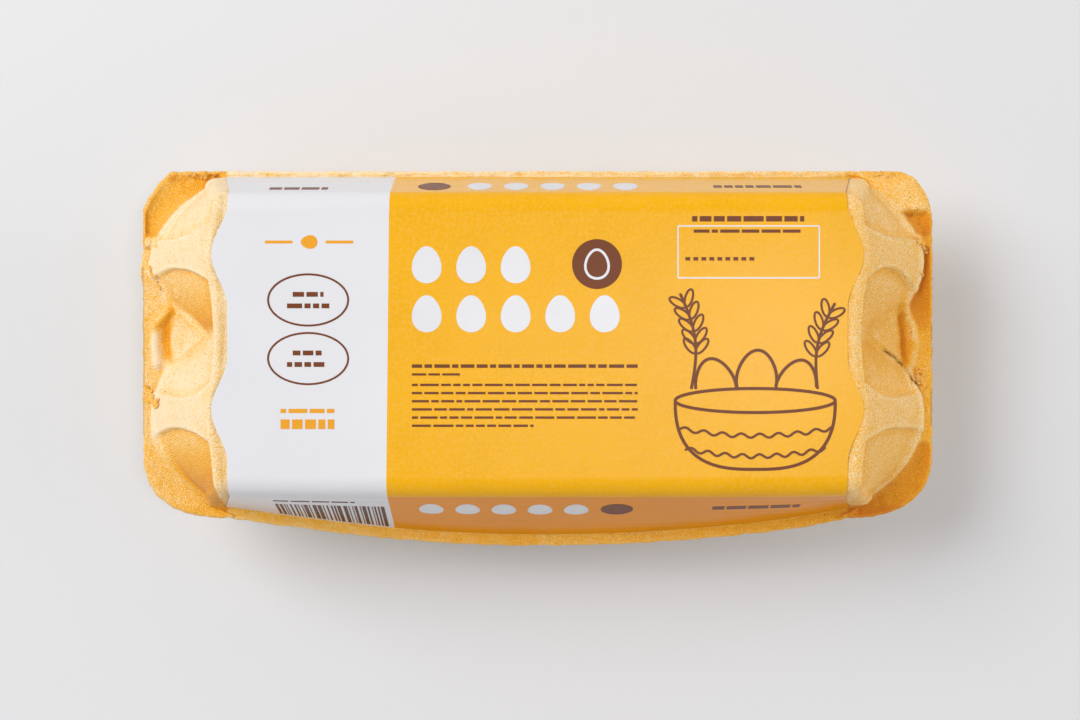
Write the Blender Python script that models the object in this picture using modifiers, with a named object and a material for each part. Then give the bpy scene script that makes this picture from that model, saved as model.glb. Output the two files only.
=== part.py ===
"""Shut egg carton of moulded pulp, two rows of five eggs, with a paper label wrapped over its lid.

The long way is X, the hinge side is +Y and the opening side is -Y. The tray's cups stand on Z = 0.
The carton is shut, so lid and tray are solid. The lid is a loft: level rings run from its rim up
its walls and round its shoulder. Both of its ends bulge in two noses, one for each row of eggs.
"""
import math

import bmesh
import bpy

MM = 0.001

# Heights, from the ground up
TOP = 72.0 * MM
RIM_UNDERSIDE = 44.15 * MM
RIM_THICKNESS = 1.9 * MM
FOOT_RISE = 0.5 * MM
CONTACT_GAP = 0.3 * MM

# The rim, seen from above
LID_HALF_LENGTH = 128.8 * MM
TRAY_HALF_LENGTH = 129.5 * MM
RIM_BACK = 61.8 * MM
RIM_FRONT = 51.5 * MM
RIM_RUN = 99.5 * MM
LEFT_BACK_CORNER = (9.5 * MM, 13.0 * MM, 1.25)
RIGHT_BACK_CORNER = (12.0 * MM, 17.0 * MM, 2.0)
FRONT_CORNER = (29.0 * MM, 22.0 * MM, 2.5)
TRAY_FRONT = 48.2 * MM

# The front flap, which bows out and hangs lower in its middle
BOW_HALF_LENGTH = 101.0 * MM
BOW_POWER_LEFT = 1.15
BOW_POWER_RIGHT = 0.85
FLAP_BOW = 10.3 * MM
FLAP_DROP = 13.5 * MM
LIP_BELOW_RIM = 1.15 * MM
UNDERSIDE_INSET = 9.0 * MM

# The room under the lid, as a shape larger than the tray that is cut from the lid
FLAP_ROOM_BOW = 1.3 * MM
FLAP_ROOM_SLOPE = 0.4
ROOM_HALF_LENGTH = 150.0 * MM
ROOM_BACK = 90.0 * MM
ROOM_LOW = 20.0 * MM

# The lid's long walls and their rounded top edges
EDGE_BACK = 51.3 * MM
EDGE_FRONT = 41.0 * MM
FOOT_BACK = 59.4 * MM
FRONT_FLANGE = 4.2 * MM
LONG_EDGE_RADIUS = 4.5 * MM

# The lid's ends: the shoulder, and the foot of the two noses below it
SHOULDER = 101.2 * MM
SHOULDER_LOBE = 2.0 * MM
SHOULDER_LOBE_WIDTH = 11.0 * MM
SHOULDER_RADIUS = 2.5 * MM
CORNER_RADIUS = 3.5 * MM
NOSE_TIP = 125.7 * MM
NOSE_ROWS = (32.7 * MM, -17.2 * MM)
NOSE_MIDDLE = 7.9 * MM
NOSE_HALF_WIDTH = 24.6 * MM
INNER_FLANK_DEPTH = 13.5 * MM
OUTER_FLANK_DEPTH = 19.0 * MM
FRONT_FLANK_STRETCH = 1.16
FRONT_FLANK_POWER = 1.15
VALLEY_FOOT = 119.6 * MM
VALLEY_SLOPE = 1.15
VALLEY_CREASE = 0.02
VALLEY_POST_HEIGHT = 4.5 * MM
VALLEY_POST_WIDTH = 7.0 * MM
VALLEY_POST_PLACE = 0.45

# The tray
CUP_PITCH = 48.6 * MM
CUPS_IN_ROW = 5
CUP_ROWS = (31.0 * MM, -17.5 * MM)
TRAY_RIM_THICKNESS = 2.2 * MM
SKIRT_STEP = 0.6 * MM
SKIRT_INSET = 5.0 * MM
SKIRT_TAPER = 3.0 * MM
SKIRT_HEIGHT = 9.5 * MM
CUP_PROFILE = (
    (26.0 * MM, 38.0 * MM),
    (25.0 * MM, 27.0 * MM),
    (22.4 * MM, 14.0 * MM),
    (18.8 * MM, 4.4 * MM),
    (17.0 * MM, 1.2 * MM),
    (14.6 * MM, 0.0),
)
CUP_SIDES = 24

# The label
LABEL_THICKNESS = 0.35 * MM
LABEL_EDGE = 96.9 * MM
LABEL_WAVE = 5.0 * MM
LABEL_WAVE_ROWS = (33.1 * MM, -15.9 * MM)
LABEL_WAVE_HALF_WIDTH = 16.5 * MM
LABEL_FLARE = 4.6 * MM
LABEL_COLUMNS = 18
LABEL_TOP_STEPS = 26

# How finely the lid and the corners of the rims are divided
WALL_STEPS = 5
ARC_STEPS = 3
LONG_POINTS = 38
END_POINTS = 58
FILLET_POINTS = 3
CORNER_STEPS = 12
SHARP_ANGLE = math.radians(35)

PULP = (0.86, 0.52, 0.15, 1.0)
PULP_ROUGHNESS = 0.9
PAPER = (0.93, 0.47, 0.03, 1.0)
PAPER_ROUGHNESS = 0.45


def empty_scene():
    for item in list(bpy.data.objects):
        bpy.data.objects.remove(item, do_unlink=True)


def new_collection(name):
    collection = bpy.data.collections.new(name)
    bpy.context.scene.collection.children.link(collection)
    return collection


def principled(name, colour, roughness):
    material = bpy.data.materials.new(name)
    material.use_nodes = True
    shader = material.node_tree.nodes["Principled BSDF"]
    shader.inputs["Base Color"].default_value = colour
    shader.inputs["Roughness"].default_value = roughness
    shader.inputs["Metallic"].default_value = 0.0
    return material


def blend(start, end, amount):
    return tuple(a + (b - a) * amount for a, b in zip(start, end))


def spread(start, end, count):
    return [start + (end - start) * step / (count - 1) for step in range(count)]


def bow(x):
    """How far the front flap bows and drops at x, from 0 at its ends to 1 in the middle."""
    inside = max(0.0, 1.0 - (x / BOW_HALF_LENGTH) ** 2)
    return inside ** (BOW_POWER_LEFT if x < 0 else BOW_POWER_RIGHT)


def rim_top(x, at_front):
    drop = FLAP_DROP * bow(x) if at_front else 0.0
    return RIM_UNDERSIDE + RIM_THICKNESS - drop


def nose_reach(y):
    """Reach of an end wall at its foot, where each row of eggs makes a nose."""
    inward = y < NOSE_ROWS[0] and y > NOSE_ROWS[1]
    row = NOSE_ROWS[0] if y > NOSE_MIDDLE else NOSE_ROWS[1]
    away = abs(y - row) / NOSE_HALF_WIDTH
    if inward:
        return NOSE_TIP - INNER_FLANK_DEPTH * away ** 2
    if row == NOSE_ROWS[1]:
        away = (away / FRONT_FLANK_STRETCH) ** FRONT_FLANK_POWER
    return NOSE_TIP - OUTER_FLANK_DEPTH * away ** 2


def shoulder_reach(y):
    lobes = sum(math.exp(-((y - row) / SHOULDER_LOBE_WIDTH) ** 2) for row in NOSE_ROWS)
    return SHOULDER + SHOULDER_LOBE * lobes


def valley_reach(y, z):
    """Reach of the sloping facet between the two noses at height z."""
    above_rim = z - RIM_UNDERSIDE - RIM_THICKNESS
    return VALLEY_FOOT - VALLEY_SLOPE * above_rim - VALLEY_CREASE * abs(y - NOSE_MIDDLE)


def wall_profile(edge, foot, foot_height, radius, offset=0.0):
    """Reach and height of each level, from a wall's foot up and round its top edge."""
    run, rise = foot - edge, TOP - foot_height
    length = math.hypot(run, rise)
    out, up = rise / length, run / length
    turn = math.atan2(rise, run)
    tangent = radius * math.tan(turn / 2)
    start = (foot + offset * out, foot_height + offset * up)
    end = (edge + tangent * up + offset * out, TOP - tangent * out + offset * up)
    wall = [blend(start, end, step / WALL_STEPS) for step in range(WALL_STEPS + 1)]
    middle = (edge - tangent, TOP - radius)
    arc = []
    for step in range(1, ARC_STEPS + 1):
        angle = turn * (1 - step / ARC_STEPS)
        arc.append((middle[0] + (radius + offset) * math.sin(angle),
                    middle[1] + (radius + offset) * math.cos(angle)))
    return wall + arc


def long_profile(x, at_front, offset=0.0):
    edge = EDGE_FRONT if at_front else EDGE_BACK
    foot = RIM_FRONT + FLAP_BOW * bow(x) - FRONT_FLANGE if at_front else FOOT_BACK
    return wall_profile(edge, foot, rim_top(x, at_front) + FOOT_RISE, LONG_EDGE_RADIUS, offset)


def end_profile(y):
    foot_height = rim_top(LID_HALF_LENGTH, False) + FOOT_RISE
    levels = wall_profile(shoulder_reach(y), nose_reach(y), foot_height, SHOULDER_RADIUS)
    if NOSE_ROWS[1] < y < NOSE_ROWS[0]:
        levels = [(max(reach, valley_reach(y, z)), z) for reach, z in levels]
    return levels


def corner(level, at_front):
    """Where a long wall stops and an end wall starts at a level, both beside their corner."""
    sign = -1 if at_front else 1
    x = SHOULDER
    for _ in range(4):
        reach, height = long_profile(x, at_front)[level]
        start = sign * (reach - CORNER_RADIUS)
        end_reach, end_height = end_profile(start)[level]
        x = end_reach - CORNER_RADIUS
    return (x, sign * reach, height), (end_reach, start, end_height)


def fillet(first, second, swap):
    """Points of the quarter turn between a long wall's end and an end wall's start."""
    points = []
    for step in range(1, FILLET_POINTS + 1):
        angle = math.radians(90) * step / (FILLET_POINTS + 1)
        x = first[0] + (second[0] - first[0]) * math.sin(angle)
        y = second[1] + (first[1] - second[1]) * math.cos(angle)
        points.append((x, y, first[2] + (second[2] - first[2]) * step / (FILLET_POINTS + 1)))
    return points[::-1] if swap else points


def end_run(level):
    """One end of a level ring, from the back wall round to the front wall, at +X."""
    back_long, back_end = corner(level, False)
    front_long, front_end = corner(level, True)
    run = fillet(back_long, back_end, False)
    for y in spread(back_end[1], front_end[1], END_POINTS):
        reach, height = end_profile(y)[level]
        run.append((reach, y, height))
    return run + fillet(front_long, front_end, True), back_long[0], front_long[0]


def level_ring(level):
    """One closed ring of the lid's walls, clockwise seen from above."""
    run, back_x, front_x = end_run(level)
    ring = []
    for x in spread(-back_x, back_x, LONG_POINTS):
        reach, height = long_profile(x, False)[level]
        ring.append((x, reach, height))
    ring += run
    for x in spread(front_x, -front_x, LONG_POINTS):
        reach, height = long_profile(x, True)[level]
        ring.append((x, -reach, height))
    return ring + [(-x, y, z) for x, y, z in reversed(run)]


def corner_arc(half_length, edge, shape):
    """Rounded corner of the rim in the +X +Y quarter, from its long side to its end."""
    across, along, power = shape
    points = []
    for step in range(CORNER_STEPS + 1):
        angle = math.radians(90) * step / CORNER_STEPS
        x = half_length - across + across * math.sin(angle) ** (2 / power)
        y = edge - along + along * math.cos(angle) ** (2 / power)
        points.append((x, y))
    return points


def lengths_along(path):
    """Length of a flat path up to each of its points."""
    lengths = [0.0]
    for first, second in zip(path, path[1:]):
        lengths.append(lengths[-1] + math.dist(first, second))
    return lengths


def resample(path, fractions):
    """Points of a flat path at fractions of its length."""
    lengths = lengths_along(path)
    points = []
    index = 0
    for fraction in fractions:
        target = fraction * lengths[-1]
        while index < len(path) - 2 and lengths[index + 1] < target:
            index += 1
        step = lengths[index + 1] - lengths[index]
        points.append(blend(path[index], path[index + 1], (target - lengths[index]) / step))
    return points


def rim_outline(fractions, half_length, back, front, bowed, inset=0.0):
    """Outline of a rim with its points spread like those of a level ring."""
    half_length, back, front = half_length - inset, back - inset, front - inset
    ends = []
    for back_corner in (RIGHT_BACK_CORNER, LEFT_BACK_CORNER):
        path = [(RIM_RUN - inset, back)] + corner_arc(half_length, back, back_corner)
        path += [(x, -y) for x, y in reversed(corner_arc(half_length, front, FRONT_CORNER))]
        ends.append(resample(path, fractions))
    run = RIM_RUN - inset
    outline = [(x, back) for x in spread(-run, run, LONG_POINTS)]
    outline += ends[0]
    for x in spread(run, -run, LONG_POINTS):
        outline.append((x, -front - (FLAP_BOW * bow(x) if bowed else 0.0)))
    return outline + [(-x, y) for x, y in reversed(ends[1])]


def end_fractions():
    """How far along an end each of its ring points lies, measured at the foot of the walls."""
    run, back_x, front_x = end_run(0)
    path = [(back_x, long_profile(back_x, False)[0][0])] + [(x, y) for x, y, z in run]
    path.append((front_x, -long_profile(front_x, True)[0][0]))
    lengths = lengths_along(path)
    return [length / lengths[-1] for length in lengths[1:-1]]


def loft(name, rings):
    """Closed mesh through level rings of equal length, with a flat face on each end ring."""
    mesh = bpy.data.meshes.new(name)
    work = bmesh.new()
    loops = [[work.verts.new(point) for point in ring] for ring in rings]
    for lower, upper in zip(loops, loops[1:]):
        for index in range(len(lower)):
            after = (index + 1) % len(lower)
            work.faces.new((lower[index], lower[after], upper[after], upper[index]))
    work.faces.new(loops[0])
    work.faces.new(loops[-1])
    bmesh.ops.recalc_face_normals(work, faces=work.faces)
    work.to_mesh(mesh)
    work.free()
    return mesh


def add_object(name, mesh, collection, material=None):
    item = bpy.data.objects.new(name, mesh)
    collection.objects.link(item)
    if material:
        mesh.materials.append(material)
    return item


def add_cutter(name, mesh, collection):
    cutter = add_object(name, mesh, collection)
    cutter.hide_render = True
    cutter.display_type = 'WIRE'
    return cutter


def room_for_tray(collection):
    """Space under the lid: all that is below its rim, up to the inside of the front flap."""
    rings = []
    for z in (ROOM_LOW, RIM_UNDERSIDE):
        below = RIM_UNDERSIDE - z
        front_line = []
        for x in spread(ROOM_HALF_LENGTH, -ROOM_HALF_LENGTH, 2 * LONG_POINTS):
            inside = bow(x) * (FLAP_ROOM_BOW + FLAP_ROOM_SLOPE * below)
            front_line.append((x, -TRAY_FRONT - CONTACT_GAP - inside, z))
        back_line = [(-ROOM_HALF_LENGTH, ROOM_BACK, z), (ROOM_HALF_LENGTH, ROOM_BACK, z)]
        rings.append(back_line + front_line)
    return add_cutter("room_for_tray", loft("room_for_tray", rings), collection)


def make_lid(parts, cutters, material):
    fractions = end_fractions()
    outline = rim_outline(fractions, LID_HALF_LENGTH, RIM_BACK, RIM_FRONT, True)
    inner = rim_outline(fractions, LID_HALF_LENGTH, RIM_BACK, RIM_FRONT, True, UNDERSIDE_INSET)
    front_points = range(LONG_POINTS + len(fractions), 2 * LONG_POINTS + len(fractions))
    tops = []
    for index, (x, y) in enumerate(outline):
        tops.append(rim_top(x, index in front_points))
    below = RIM_THICKNESS + LIP_BELOW_RIM
    underside = [(x, y, top - below) for (x, y), top in zip(inner, tops)]
    rim_low = [(x, y, top - below) for (x, y), top in zip(outline, tops)]
    rim_high = [(x, y, top) for (x, y), top in zip(outline, tops)]
    foot = level_ring(0)
    post = []
    for outer, wall in zip(rim_high, foot):
        middle = blend(outer, wall, VALLEY_POST_PLACE)
        at_end = abs(middle[0]) > SHOULDER + SHOULDER_LOBE
        nearness = math.exp(-((middle[1] - NOSE_MIDDLE) / VALLEY_POST_WIDTH) ** 4)
        post.append((middle[0], middle[1], outer[2] + (VALLEY_POST_HEIGHT * nearness if at_end else 0.0)))
    walls = [level_ring(level) for level in range(WALL_STEPS + 1 + ARC_STEPS)]
    lid = add_object("carton_lid", loft("carton_lid", [underside, rim_low, rim_high, post] + walls),
                     parts, material)
    cut = lid.modifiers.new("room_for_tray", 'BOOLEAN')
    cut.operation = 'DIFFERENCE'
    cut.solver = 'EXACT'
    cut.object = room_for_tray(cutters)
    return lid


def cup_mesh():
    """One egg cup, turned from its profile and closed at its flat top and bottom."""
    mesh = bpy.data.meshes.new("cup")
    work = bmesh.new()
    rings = []
    for radius, height in CUP_PROFILE:
        ring = []
        for side in range(CUP_SIDES):
            angle = math.radians(360) * side / CUP_SIDES
            ring.append(work.verts.new((radius * math.cos(angle), radius * math.sin(angle), height)))
        rings.append(ring)
    for upper, lower in zip(rings, rings[1:]):
        for side in range(CUP_SIDES):
            after = (side + 1) % CUP_SIDES
            work.faces.new((upper[side], lower[side], lower[after], upper[after]))
    work.faces.new(rings[0])
    work.faces.new(rings[-1])
    bmesh.ops.recalc_face_normals(work, faces=work.faces)
    work.to_mesh(mesh)
    work.free()
    return mesh


def make_tray(parts, material):
    fractions = end_fractions()
    top = RIM_UNDERSIDE - CONTACT_GAP
    rings = []
    for inset, height in ((0.0, top), (0.0, top - TRAY_RIM_THICKNESS),
                          (SKIRT_INSET, top - TRAY_RIM_THICKNESS - SKIRT_STEP),
                          (SKIRT_INSET + SKIRT_TAPER, top - SKIRT_HEIGHT)):
        outline = rim_outline(fractions, TRAY_HALF_LENGTH, RIM_BACK, TRAY_FRONT, False, inset)
        rings.append([(x, y, height) for x, y in outline])
    tray = add_object("carton_tray", loft("carton_tray", rings), parts, material)

    joined = new_collection("cups_to_join")
    shape = cup_mesh()
    for column in range(CUPS_IN_ROW):
        for row, y in enumerate(CUP_ROWS):
            cup = add_object(f"cup_{column}_{row}", shape, joined)
            cup.location = ((column - (CUPS_IN_ROW - 1) / 2) * CUP_PITCH, y, 0.0)
    join = tray.modifiers.new("cups", 'BOOLEAN')
    join.operation = 'UNION'
    join.solver = 'EXACT'
    join.operand_type = 'COLLECTION'
    join.collection = joined
    bpy.context.view_layer.objects.active = tray
    bpy.ops.object.modifier_apply(modifier=join.name)
    for cup in list(joined.objects):
        bpy.data.objects.remove(cup, do_unlink=True)
    bpy.data.collections.remove(joined)
    return tray


def label_reach(y, amount_down):
    """Half length of the label at y on the top, or at a fraction of the way down a wall."""
    wave = 0.0
    for row in LABEL_WAVE_ROWS:
        away = abs(y - row) / LABEL_WAVE_HALF_WIDTH
        if away < 1:
            wave += 0.5 + 0.5 * math.cos(math.pi * away)
    return LABEL_EDGE + LABEL_WAVE * wave * (1 - amount_down) + LABEL_FLARE * amount_down


def label_section(x_fraction):
    """Points of the label's inner face at one column, from the back wall's foot to the front's."""
    back = long_profile(0.0, False, CONTACT_GAP)
    section = []
    for level, (reach, height) in enumerate(back):
        down = max(0.0, 1 - level / WALL_STEPS)
        x = x_fraction * label_reach(reach, down)
        section.append((x, reach, height))
    front_start = long_profile(0.0, True, CONTACT_GAP)[-1][0]
    for y in spread(back[-1][0], -front_start, LABEL_TOP_STEPS)[1:-1]:
        section.append((x_fraction * label_reach(y, 0.0), y, TOP + CONTACT_GAP))
    for level in range(WALL_STEPS + ARC_STEPS, -1, -1):
        down = max(0.0, 1 - level / WALL_STEPS)
        x = x_fraction * label_reach(-EDGE_FRONT, down)
        reach, height = long_profile(x, True, CONTACT_GAP)[level]
        section.append((x, -reach, height))
    return section


def make_label(parts, material):
    mesh = bpy.data.meshes.new("label")
    work = bmesh.new()
    columns = []
    for fraction in spread(-1.0, 1.0, LABEL_COLUMNS):
        columns.append([work.verts.new(point) for point in label_section(fraction)])
    for left, right in zip(columns, columns[1:]):
        for index in range(len(left) - 1):
            work.faces.new((left[index], left[index + 1], right[index + 1], right[index]))
    work.to_mesh(mesh)
    work.free()
    label = add_object("label", mesh, parts, material)
    skin = label.modifiers.new("thickness", 'SOLIDIFY')
    skin.thickness = LABEL_THICKNESS
    skin.offset = 1.0
    return label


def main():
    empty_scene()
    parts = new_collection("egg_carton")
    cutters = new_collection("cutters")
    lid = make_lid(parts, cutters, principled("lid_pulp", PULP, PULP_ROUGHNESS))
    tray = make_tray(parts, principled("tray_pulp", PULP, PULP_ROUGHNESS))
    label = make_label(parts, principled("label_paper", PAPER, PAPER_ROUGHNESS))
    for item in (lid, tray, label):
        item.data.shade_smooth()
        item.data.set_sharp_from_angle(angle=SHARP_ANGLE)


main()
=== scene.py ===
"""Looks of a shut egg carton: rough yellow pulp, a printed paper label, a plain floor and soft light.

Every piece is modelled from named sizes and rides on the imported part, which is loaded first.
Lengths are in metres. +X runs along the carton, +Y to its hinge side and +Z up.
"""

import math
import random

import bmesh
import bpy
import numpy as np
from bpy.props import FloatProperty, FloatVectorProperty, PointerProperty
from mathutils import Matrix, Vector, noise
from mathutils.bvhtree import BVHTree


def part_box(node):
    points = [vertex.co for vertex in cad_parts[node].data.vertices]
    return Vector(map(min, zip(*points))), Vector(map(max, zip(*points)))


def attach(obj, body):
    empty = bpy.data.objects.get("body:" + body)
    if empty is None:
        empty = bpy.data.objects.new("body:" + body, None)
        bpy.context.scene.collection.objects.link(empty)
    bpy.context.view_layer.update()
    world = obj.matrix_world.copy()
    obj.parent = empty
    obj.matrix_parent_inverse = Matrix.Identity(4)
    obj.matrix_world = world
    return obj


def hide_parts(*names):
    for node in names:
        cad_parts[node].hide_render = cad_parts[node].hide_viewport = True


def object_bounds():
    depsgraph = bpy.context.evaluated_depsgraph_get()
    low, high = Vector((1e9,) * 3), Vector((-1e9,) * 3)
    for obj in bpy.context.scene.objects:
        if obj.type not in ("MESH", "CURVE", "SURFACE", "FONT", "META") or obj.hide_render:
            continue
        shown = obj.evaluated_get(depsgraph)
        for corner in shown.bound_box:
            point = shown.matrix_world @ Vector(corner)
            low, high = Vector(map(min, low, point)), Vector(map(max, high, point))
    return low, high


bl_info = {
    "name": "Egg carton looks",
    "version": (1, 0, 0),
    "blender": (4, 5, 0),
    "location": "View3D > Sidebar > Egg carton",
    "description": "Dresses a shut pulp egg carton with rough pulp and a printed paper label",
    "category": "Add Mesh",
}

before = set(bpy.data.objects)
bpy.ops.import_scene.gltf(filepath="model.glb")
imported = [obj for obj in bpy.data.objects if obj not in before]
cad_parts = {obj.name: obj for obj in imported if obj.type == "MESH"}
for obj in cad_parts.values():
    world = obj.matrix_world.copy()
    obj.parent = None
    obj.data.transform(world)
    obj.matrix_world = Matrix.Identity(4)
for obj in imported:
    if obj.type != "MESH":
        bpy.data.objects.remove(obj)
CAD_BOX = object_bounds()
LID_LOW, LID_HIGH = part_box("carton_lid")
TRAY_LOW, TRAY_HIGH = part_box("carton_tray")

MM = 0.001

# Heights
TOP = LID_HIGH[2]
CONTACT_GAP = 0.3 * MM
TRAY_TOP = TRAY_HIGH[2]
RIM_UNDERSIDE = TRAY_TOP + CONTACT_GAP
RIM_THICKNESS = 1.9 * MM
RIM_TOP = RIM_UNDERSIDE + RIM_THICKNESS
FOOT_RISE = 0.5 * MM
FOOT_HEIGHT = RIM_TOP + FOOT_RISE

# The rim, seen from above
LID_HALF_LENGTH = LID_HIGH[0]
TRAY_HALF_LENGTH = TRAY_HIGH[0]
RIM_BACK = LID_HIGH[1]
TRAY_FRONT = -TRAY_LOW[1]
RIM_RUN = 99.5 * MM
LEFT_BACK_CORNER = (9.5 * MM, 13.0 * MM, 1.25)
RIGHT_BACK_CORNER = (12.0 * MM, 17.0 * MM, 2.0)
FRONT_CORNER = (29.0 * MM, 22.0 * MM, 2.5)

# The front flap
BOW_HALF_LENGTH = 101.0 * MM
BOW_POWER_LEFT = 1.15
BOW_POWER_RIGHT = 0.85
FLAP_BOW = 10.3 * MM
RIM_FRONT = -LID_LOW[1] - FLAP_BOW
FLAP_DROP = 13.5 * MM
FLAP_ROOM_BOW = 1.3 * MM
FLAP_ROOM_SLOPE = 0.4

# The lid's walls
EDGE_BACK = 51.3 * MM
EDGE_FRONT = 41.0 * MM
FOOT_BACK = 59.4 * MM
FRONT_FLANGE = 4.2 * MM
LONG_EDGE_RADIUS = 6.0 * MM
SHOULDER = 101.2 * MM
SHOULDER_LOBE = 2.0 * MM
SHOULDER_LOBE_WIDTH = 11.0 * MM
SHOULDER_RADIUS = 2.5 * MM
CORNER_RADIUS = 3.5 * MM
NOSE_TIP = 125.7 * MM
NOSE_ROWS = (32.7 * MM, -17.2 * MM)
NOSE_MIDDLE = 7.9 * MM
NOSE_HALF_WIDTH = 24.6 * MM
INNER_FLANK_DEPTH = 13.5 * MM
OUTER_FLANK_DEPTH = 19.0 * MM
FRONT_FLANK_STRETCH = 1.16
FRONT_FLANK_POWER = 1.15
VALLEY_FOOT = 119.6 * MM
VALLEY_SLOPE = 1.15

# The leaf-shaped hollows in the noses' flanks
LEAF_SPREAD = 9.0 * MM
LEAF_EDGE = 0.9 * MM
LEAF_LIP = 0.35 * MM
LEAF_FURTHEST = 11.0
LEAF_RIDGE = 1.9 * MM
LEAF_BELOW_TOP = 0.7 * MM
LEAF_TOP_FADE = 1.1 * MM
LEAF_FOOT_FADE = 2.2 * MM
FACET_RIDGE = 0.5 * MM
FOOT_RIDGE = 0.9 * MM
BEAD_REACH = {"left": 100.3 * MM, "right": 98.6 * MM}
BEAD_DIP = {"left": 97.8 * MM, "right": 100.7 * MM}
BEAD_WIDTH = 1.3 * MM
BEAD_DIP_DEPTH = 0.28 * MM

# For each leaf: whether it is at the left end, on the back nose and on the nose's outer flank. Then, in
# millimetres, its border's least distance from the nose's ridge, the reach where it comes so near, and
# how it curves away towards the lid's top and towards its foot
LEAVES = (
    (True, True, True, 6.0, 120.0, 1.2, 0.3),
    (True, True, False, 2.9, 117.0, 1.9, 4.5),
    (True, False, False, 5.1, 114.0, 3.3, 1.4),
    (True, False, True, 4.1, 116.0, 1.9, 3.6),
    (False, True, True, 6.3, 116.0, 1.5, 0.2),
    (False, True, False, 2.7, 111.5, 5.0, 4.5),
    (False, False, False, 5.1, 114.0, 3.3, 1.4),
    (False, False, True, 4.0, 114.0, 2.6, 0.5),
)

# Steps in the lid's flange: their heights and depths
PLATE_RISE = 0.5 * MM
SLOT_DEPTH = 1.55 * MM
LOW_CORNER_DEPTH = 1.3 * MM
GUTTER_DEPTH = 1.45 * MM
GUTTER_START = 102.5 * MM
GUTTER_SIDE = 38.5 * MM
LEDGE_RISE = 0.5 * MM
TAB_RISE = 1.1 * MM

# Flat boxes on the flange: their low and high corners and their soft edge, in millimetres. The tab
# is at the left end, so its boxes count leftwards
PLATE_BOX = ((104.0, 48.3), (131.0, 70.0), 1.0)
SLOT_BOX = ((112.0, 12.0), (128.2, 48.4), 1.2)
SLOT_BEAD_BOX = ((118.0, 36.6), (131.0, 41.0), 1.0)
LOW_CORNER_BOX = ((104.0, -60.0), (127.6, -27.0), 2.0)
TAB_BOX = ((123.4, 36.6), (131.0, 41.3), 0.9)

# Paths across the lid's ends, as seen from above, in millimetres
LEFT_POST = ((-120.0, 15.9), (-123.9, 11.5), (-124.4, 6.1), (-123.5, -1.2))
LEFT_GROOVE = ((-119.8, 13.5), (-120.5, 8.3), (-120.1, 3.4), (-119.3, -0.2))
RIGHT_POST = ((119.6, 17.4), (121.6, 11.5), (122.5, 5.0), (121.2, -0.8))
RIGHT_GROOVE = ((117.7, 14.1), (118.6, 8.3), (118.9, 3.4), (119.4, -0.2))
CRACKS = (
    ((111.7, 3.2), (115.5, 1.1), (118.9, -1.8), (121.8, -6.2), (123.9, -8.0)),
    ((124.2, -3.1), (124.6, -5.0), (124.9, -7.3)),
    ((120.3, 47.7), (121.4, 47.2), (122.6, 47.4)),
)
# Gaps between the lid's rim and the tray's, painted dark as shade
RIM_GAPS = (
    ((128.6, 11.2), (128.8, 4.0), (128.9, -2.5)),
    ((128.5, -9.3), (128.3, -15.0), (128.5, -21.0)),
    ((-128.7, 30.0), (-128.5, 9.0), (-128.3, 1.0), (-128.6, -24.0)),
)

# Posts and grooves: their paths, heights and widths, in millimetres
END_LINES = (
    (LEFT_POST, 2.0, 1.6),
    (RIGHT_POST, 1.9, 1.7),
    (LEFT_GROOVE, -0.7, 1.1),
    (RIGHT_GROOVE, -1.2, 1.2),
)
CRACK_WIDTH = 0.30 * MM
CRACK_DEPTH = 0.9 * MM
RIM_ROUGHNESS = 0.30 * MM
BACK_RIM_ROUGHNESS = 0.55 * MM
END_LINES_TOP = 62.0 * MM

# A bump on the left end's back nose: where it is, and how far it stands out
NOSE_BUMP = {"y": 28.9 * MM, "z": 47 * MM, "start": -118 * MM, "height": 1.6 * MM}

# Torn bits of pulp: the first and last place of a run, their number, size and spread, in millimetres
TEARS = (
    ((-127.6, -9.5), (-123.4, -15.5), 9, 2.6, 0.8),
    ((-126.0, 31.0), (-123.6, 23.5), 6, 1.5, 0.6),
    ((-120.0, 60.4), (-99.0, 60.4), 18, 1.3, 0.5),
    ((124.2, -3.5), (126.8, -12.5), 10, 1.8, 0.7),
    ((122.5, 40.0), (127.0, 36.0), 6, 1.8, 0.8),
    ((124.8, 29.5), (125.2, 27.5), 2, 1.2, 0.3),
    ((-12.0, -57.6), (46.0, -57.6), 12, 1.0, 0.5),
    ((100.0, 60.6), (117.0, 60.6), 8, 1.3, 0.4),
)

# The label
LABEL_EDGE = 96.9 * MM
LABEL_WAVE = 5.0 * MM
LABEL_WAVE_ROWS = (33.1 * MM, -15.9 * MM)
LABEL_WAVE_HALF_WIDTH = 16.5 * MM
LABEL_FLARE = 4.6 * MM
LABEL_OUTSIDE = 0.47 * MM
PAPER_THICKNESS = 0.14 * MM
WHITE_FIELD_EDGE = -46.3 * MM
WHITE_FIELD_SLANT = 0.01
INK_LIFT = 0.05 * MM

# The wire mesh that the pulp was formed on: its spacing, and its heading along X and Y
WIRE_PITCH = 0.8 * MM
WIRE_HEADING = {"X": -0.42, "Y": 0.91}

# How much dye each kind of place has, with painted light and shade: most entries add painted shade where
# light falls less, "foot" and "back flange" take some away as painted light, and "all" and "tab" are dye
# alone
DYE_AND_SHADE = {
    "all": 0.14, "rightwards": 0.09, "flange": 0.24, "right end": 0.09, "left front": 0.11,
    "foot": 0.14, "gutter": 0.22, "right leaf": 0.30, "front flange": 0.25, "back flange": 0.09,
    "shoulder": 0.07, "valley": 0.10, "tab": 0.26, "groove": 0.30,
}
# Painted light on the upper right plate, and painted shade in the right slot and the lower right corner,
# as boxes on the flange
PAINTED_LIGHT_AND_SHADE_BOXES = (
    (-0.12, ((102.0, 47.0), (131.0, 70.0), 2.0)),
    (0.36, ((110.0, 10.0), (128.4, 48.0), 5.0)),
    (0.28, ((102.0, -60.0), (129.0, -28.0), 9.0)),
)
TAB_DYE_BOX = ((122.0, 36.6), (131.0, 41.3), 1.0)
GROOVE_TOP = 56.0 * MM

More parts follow.
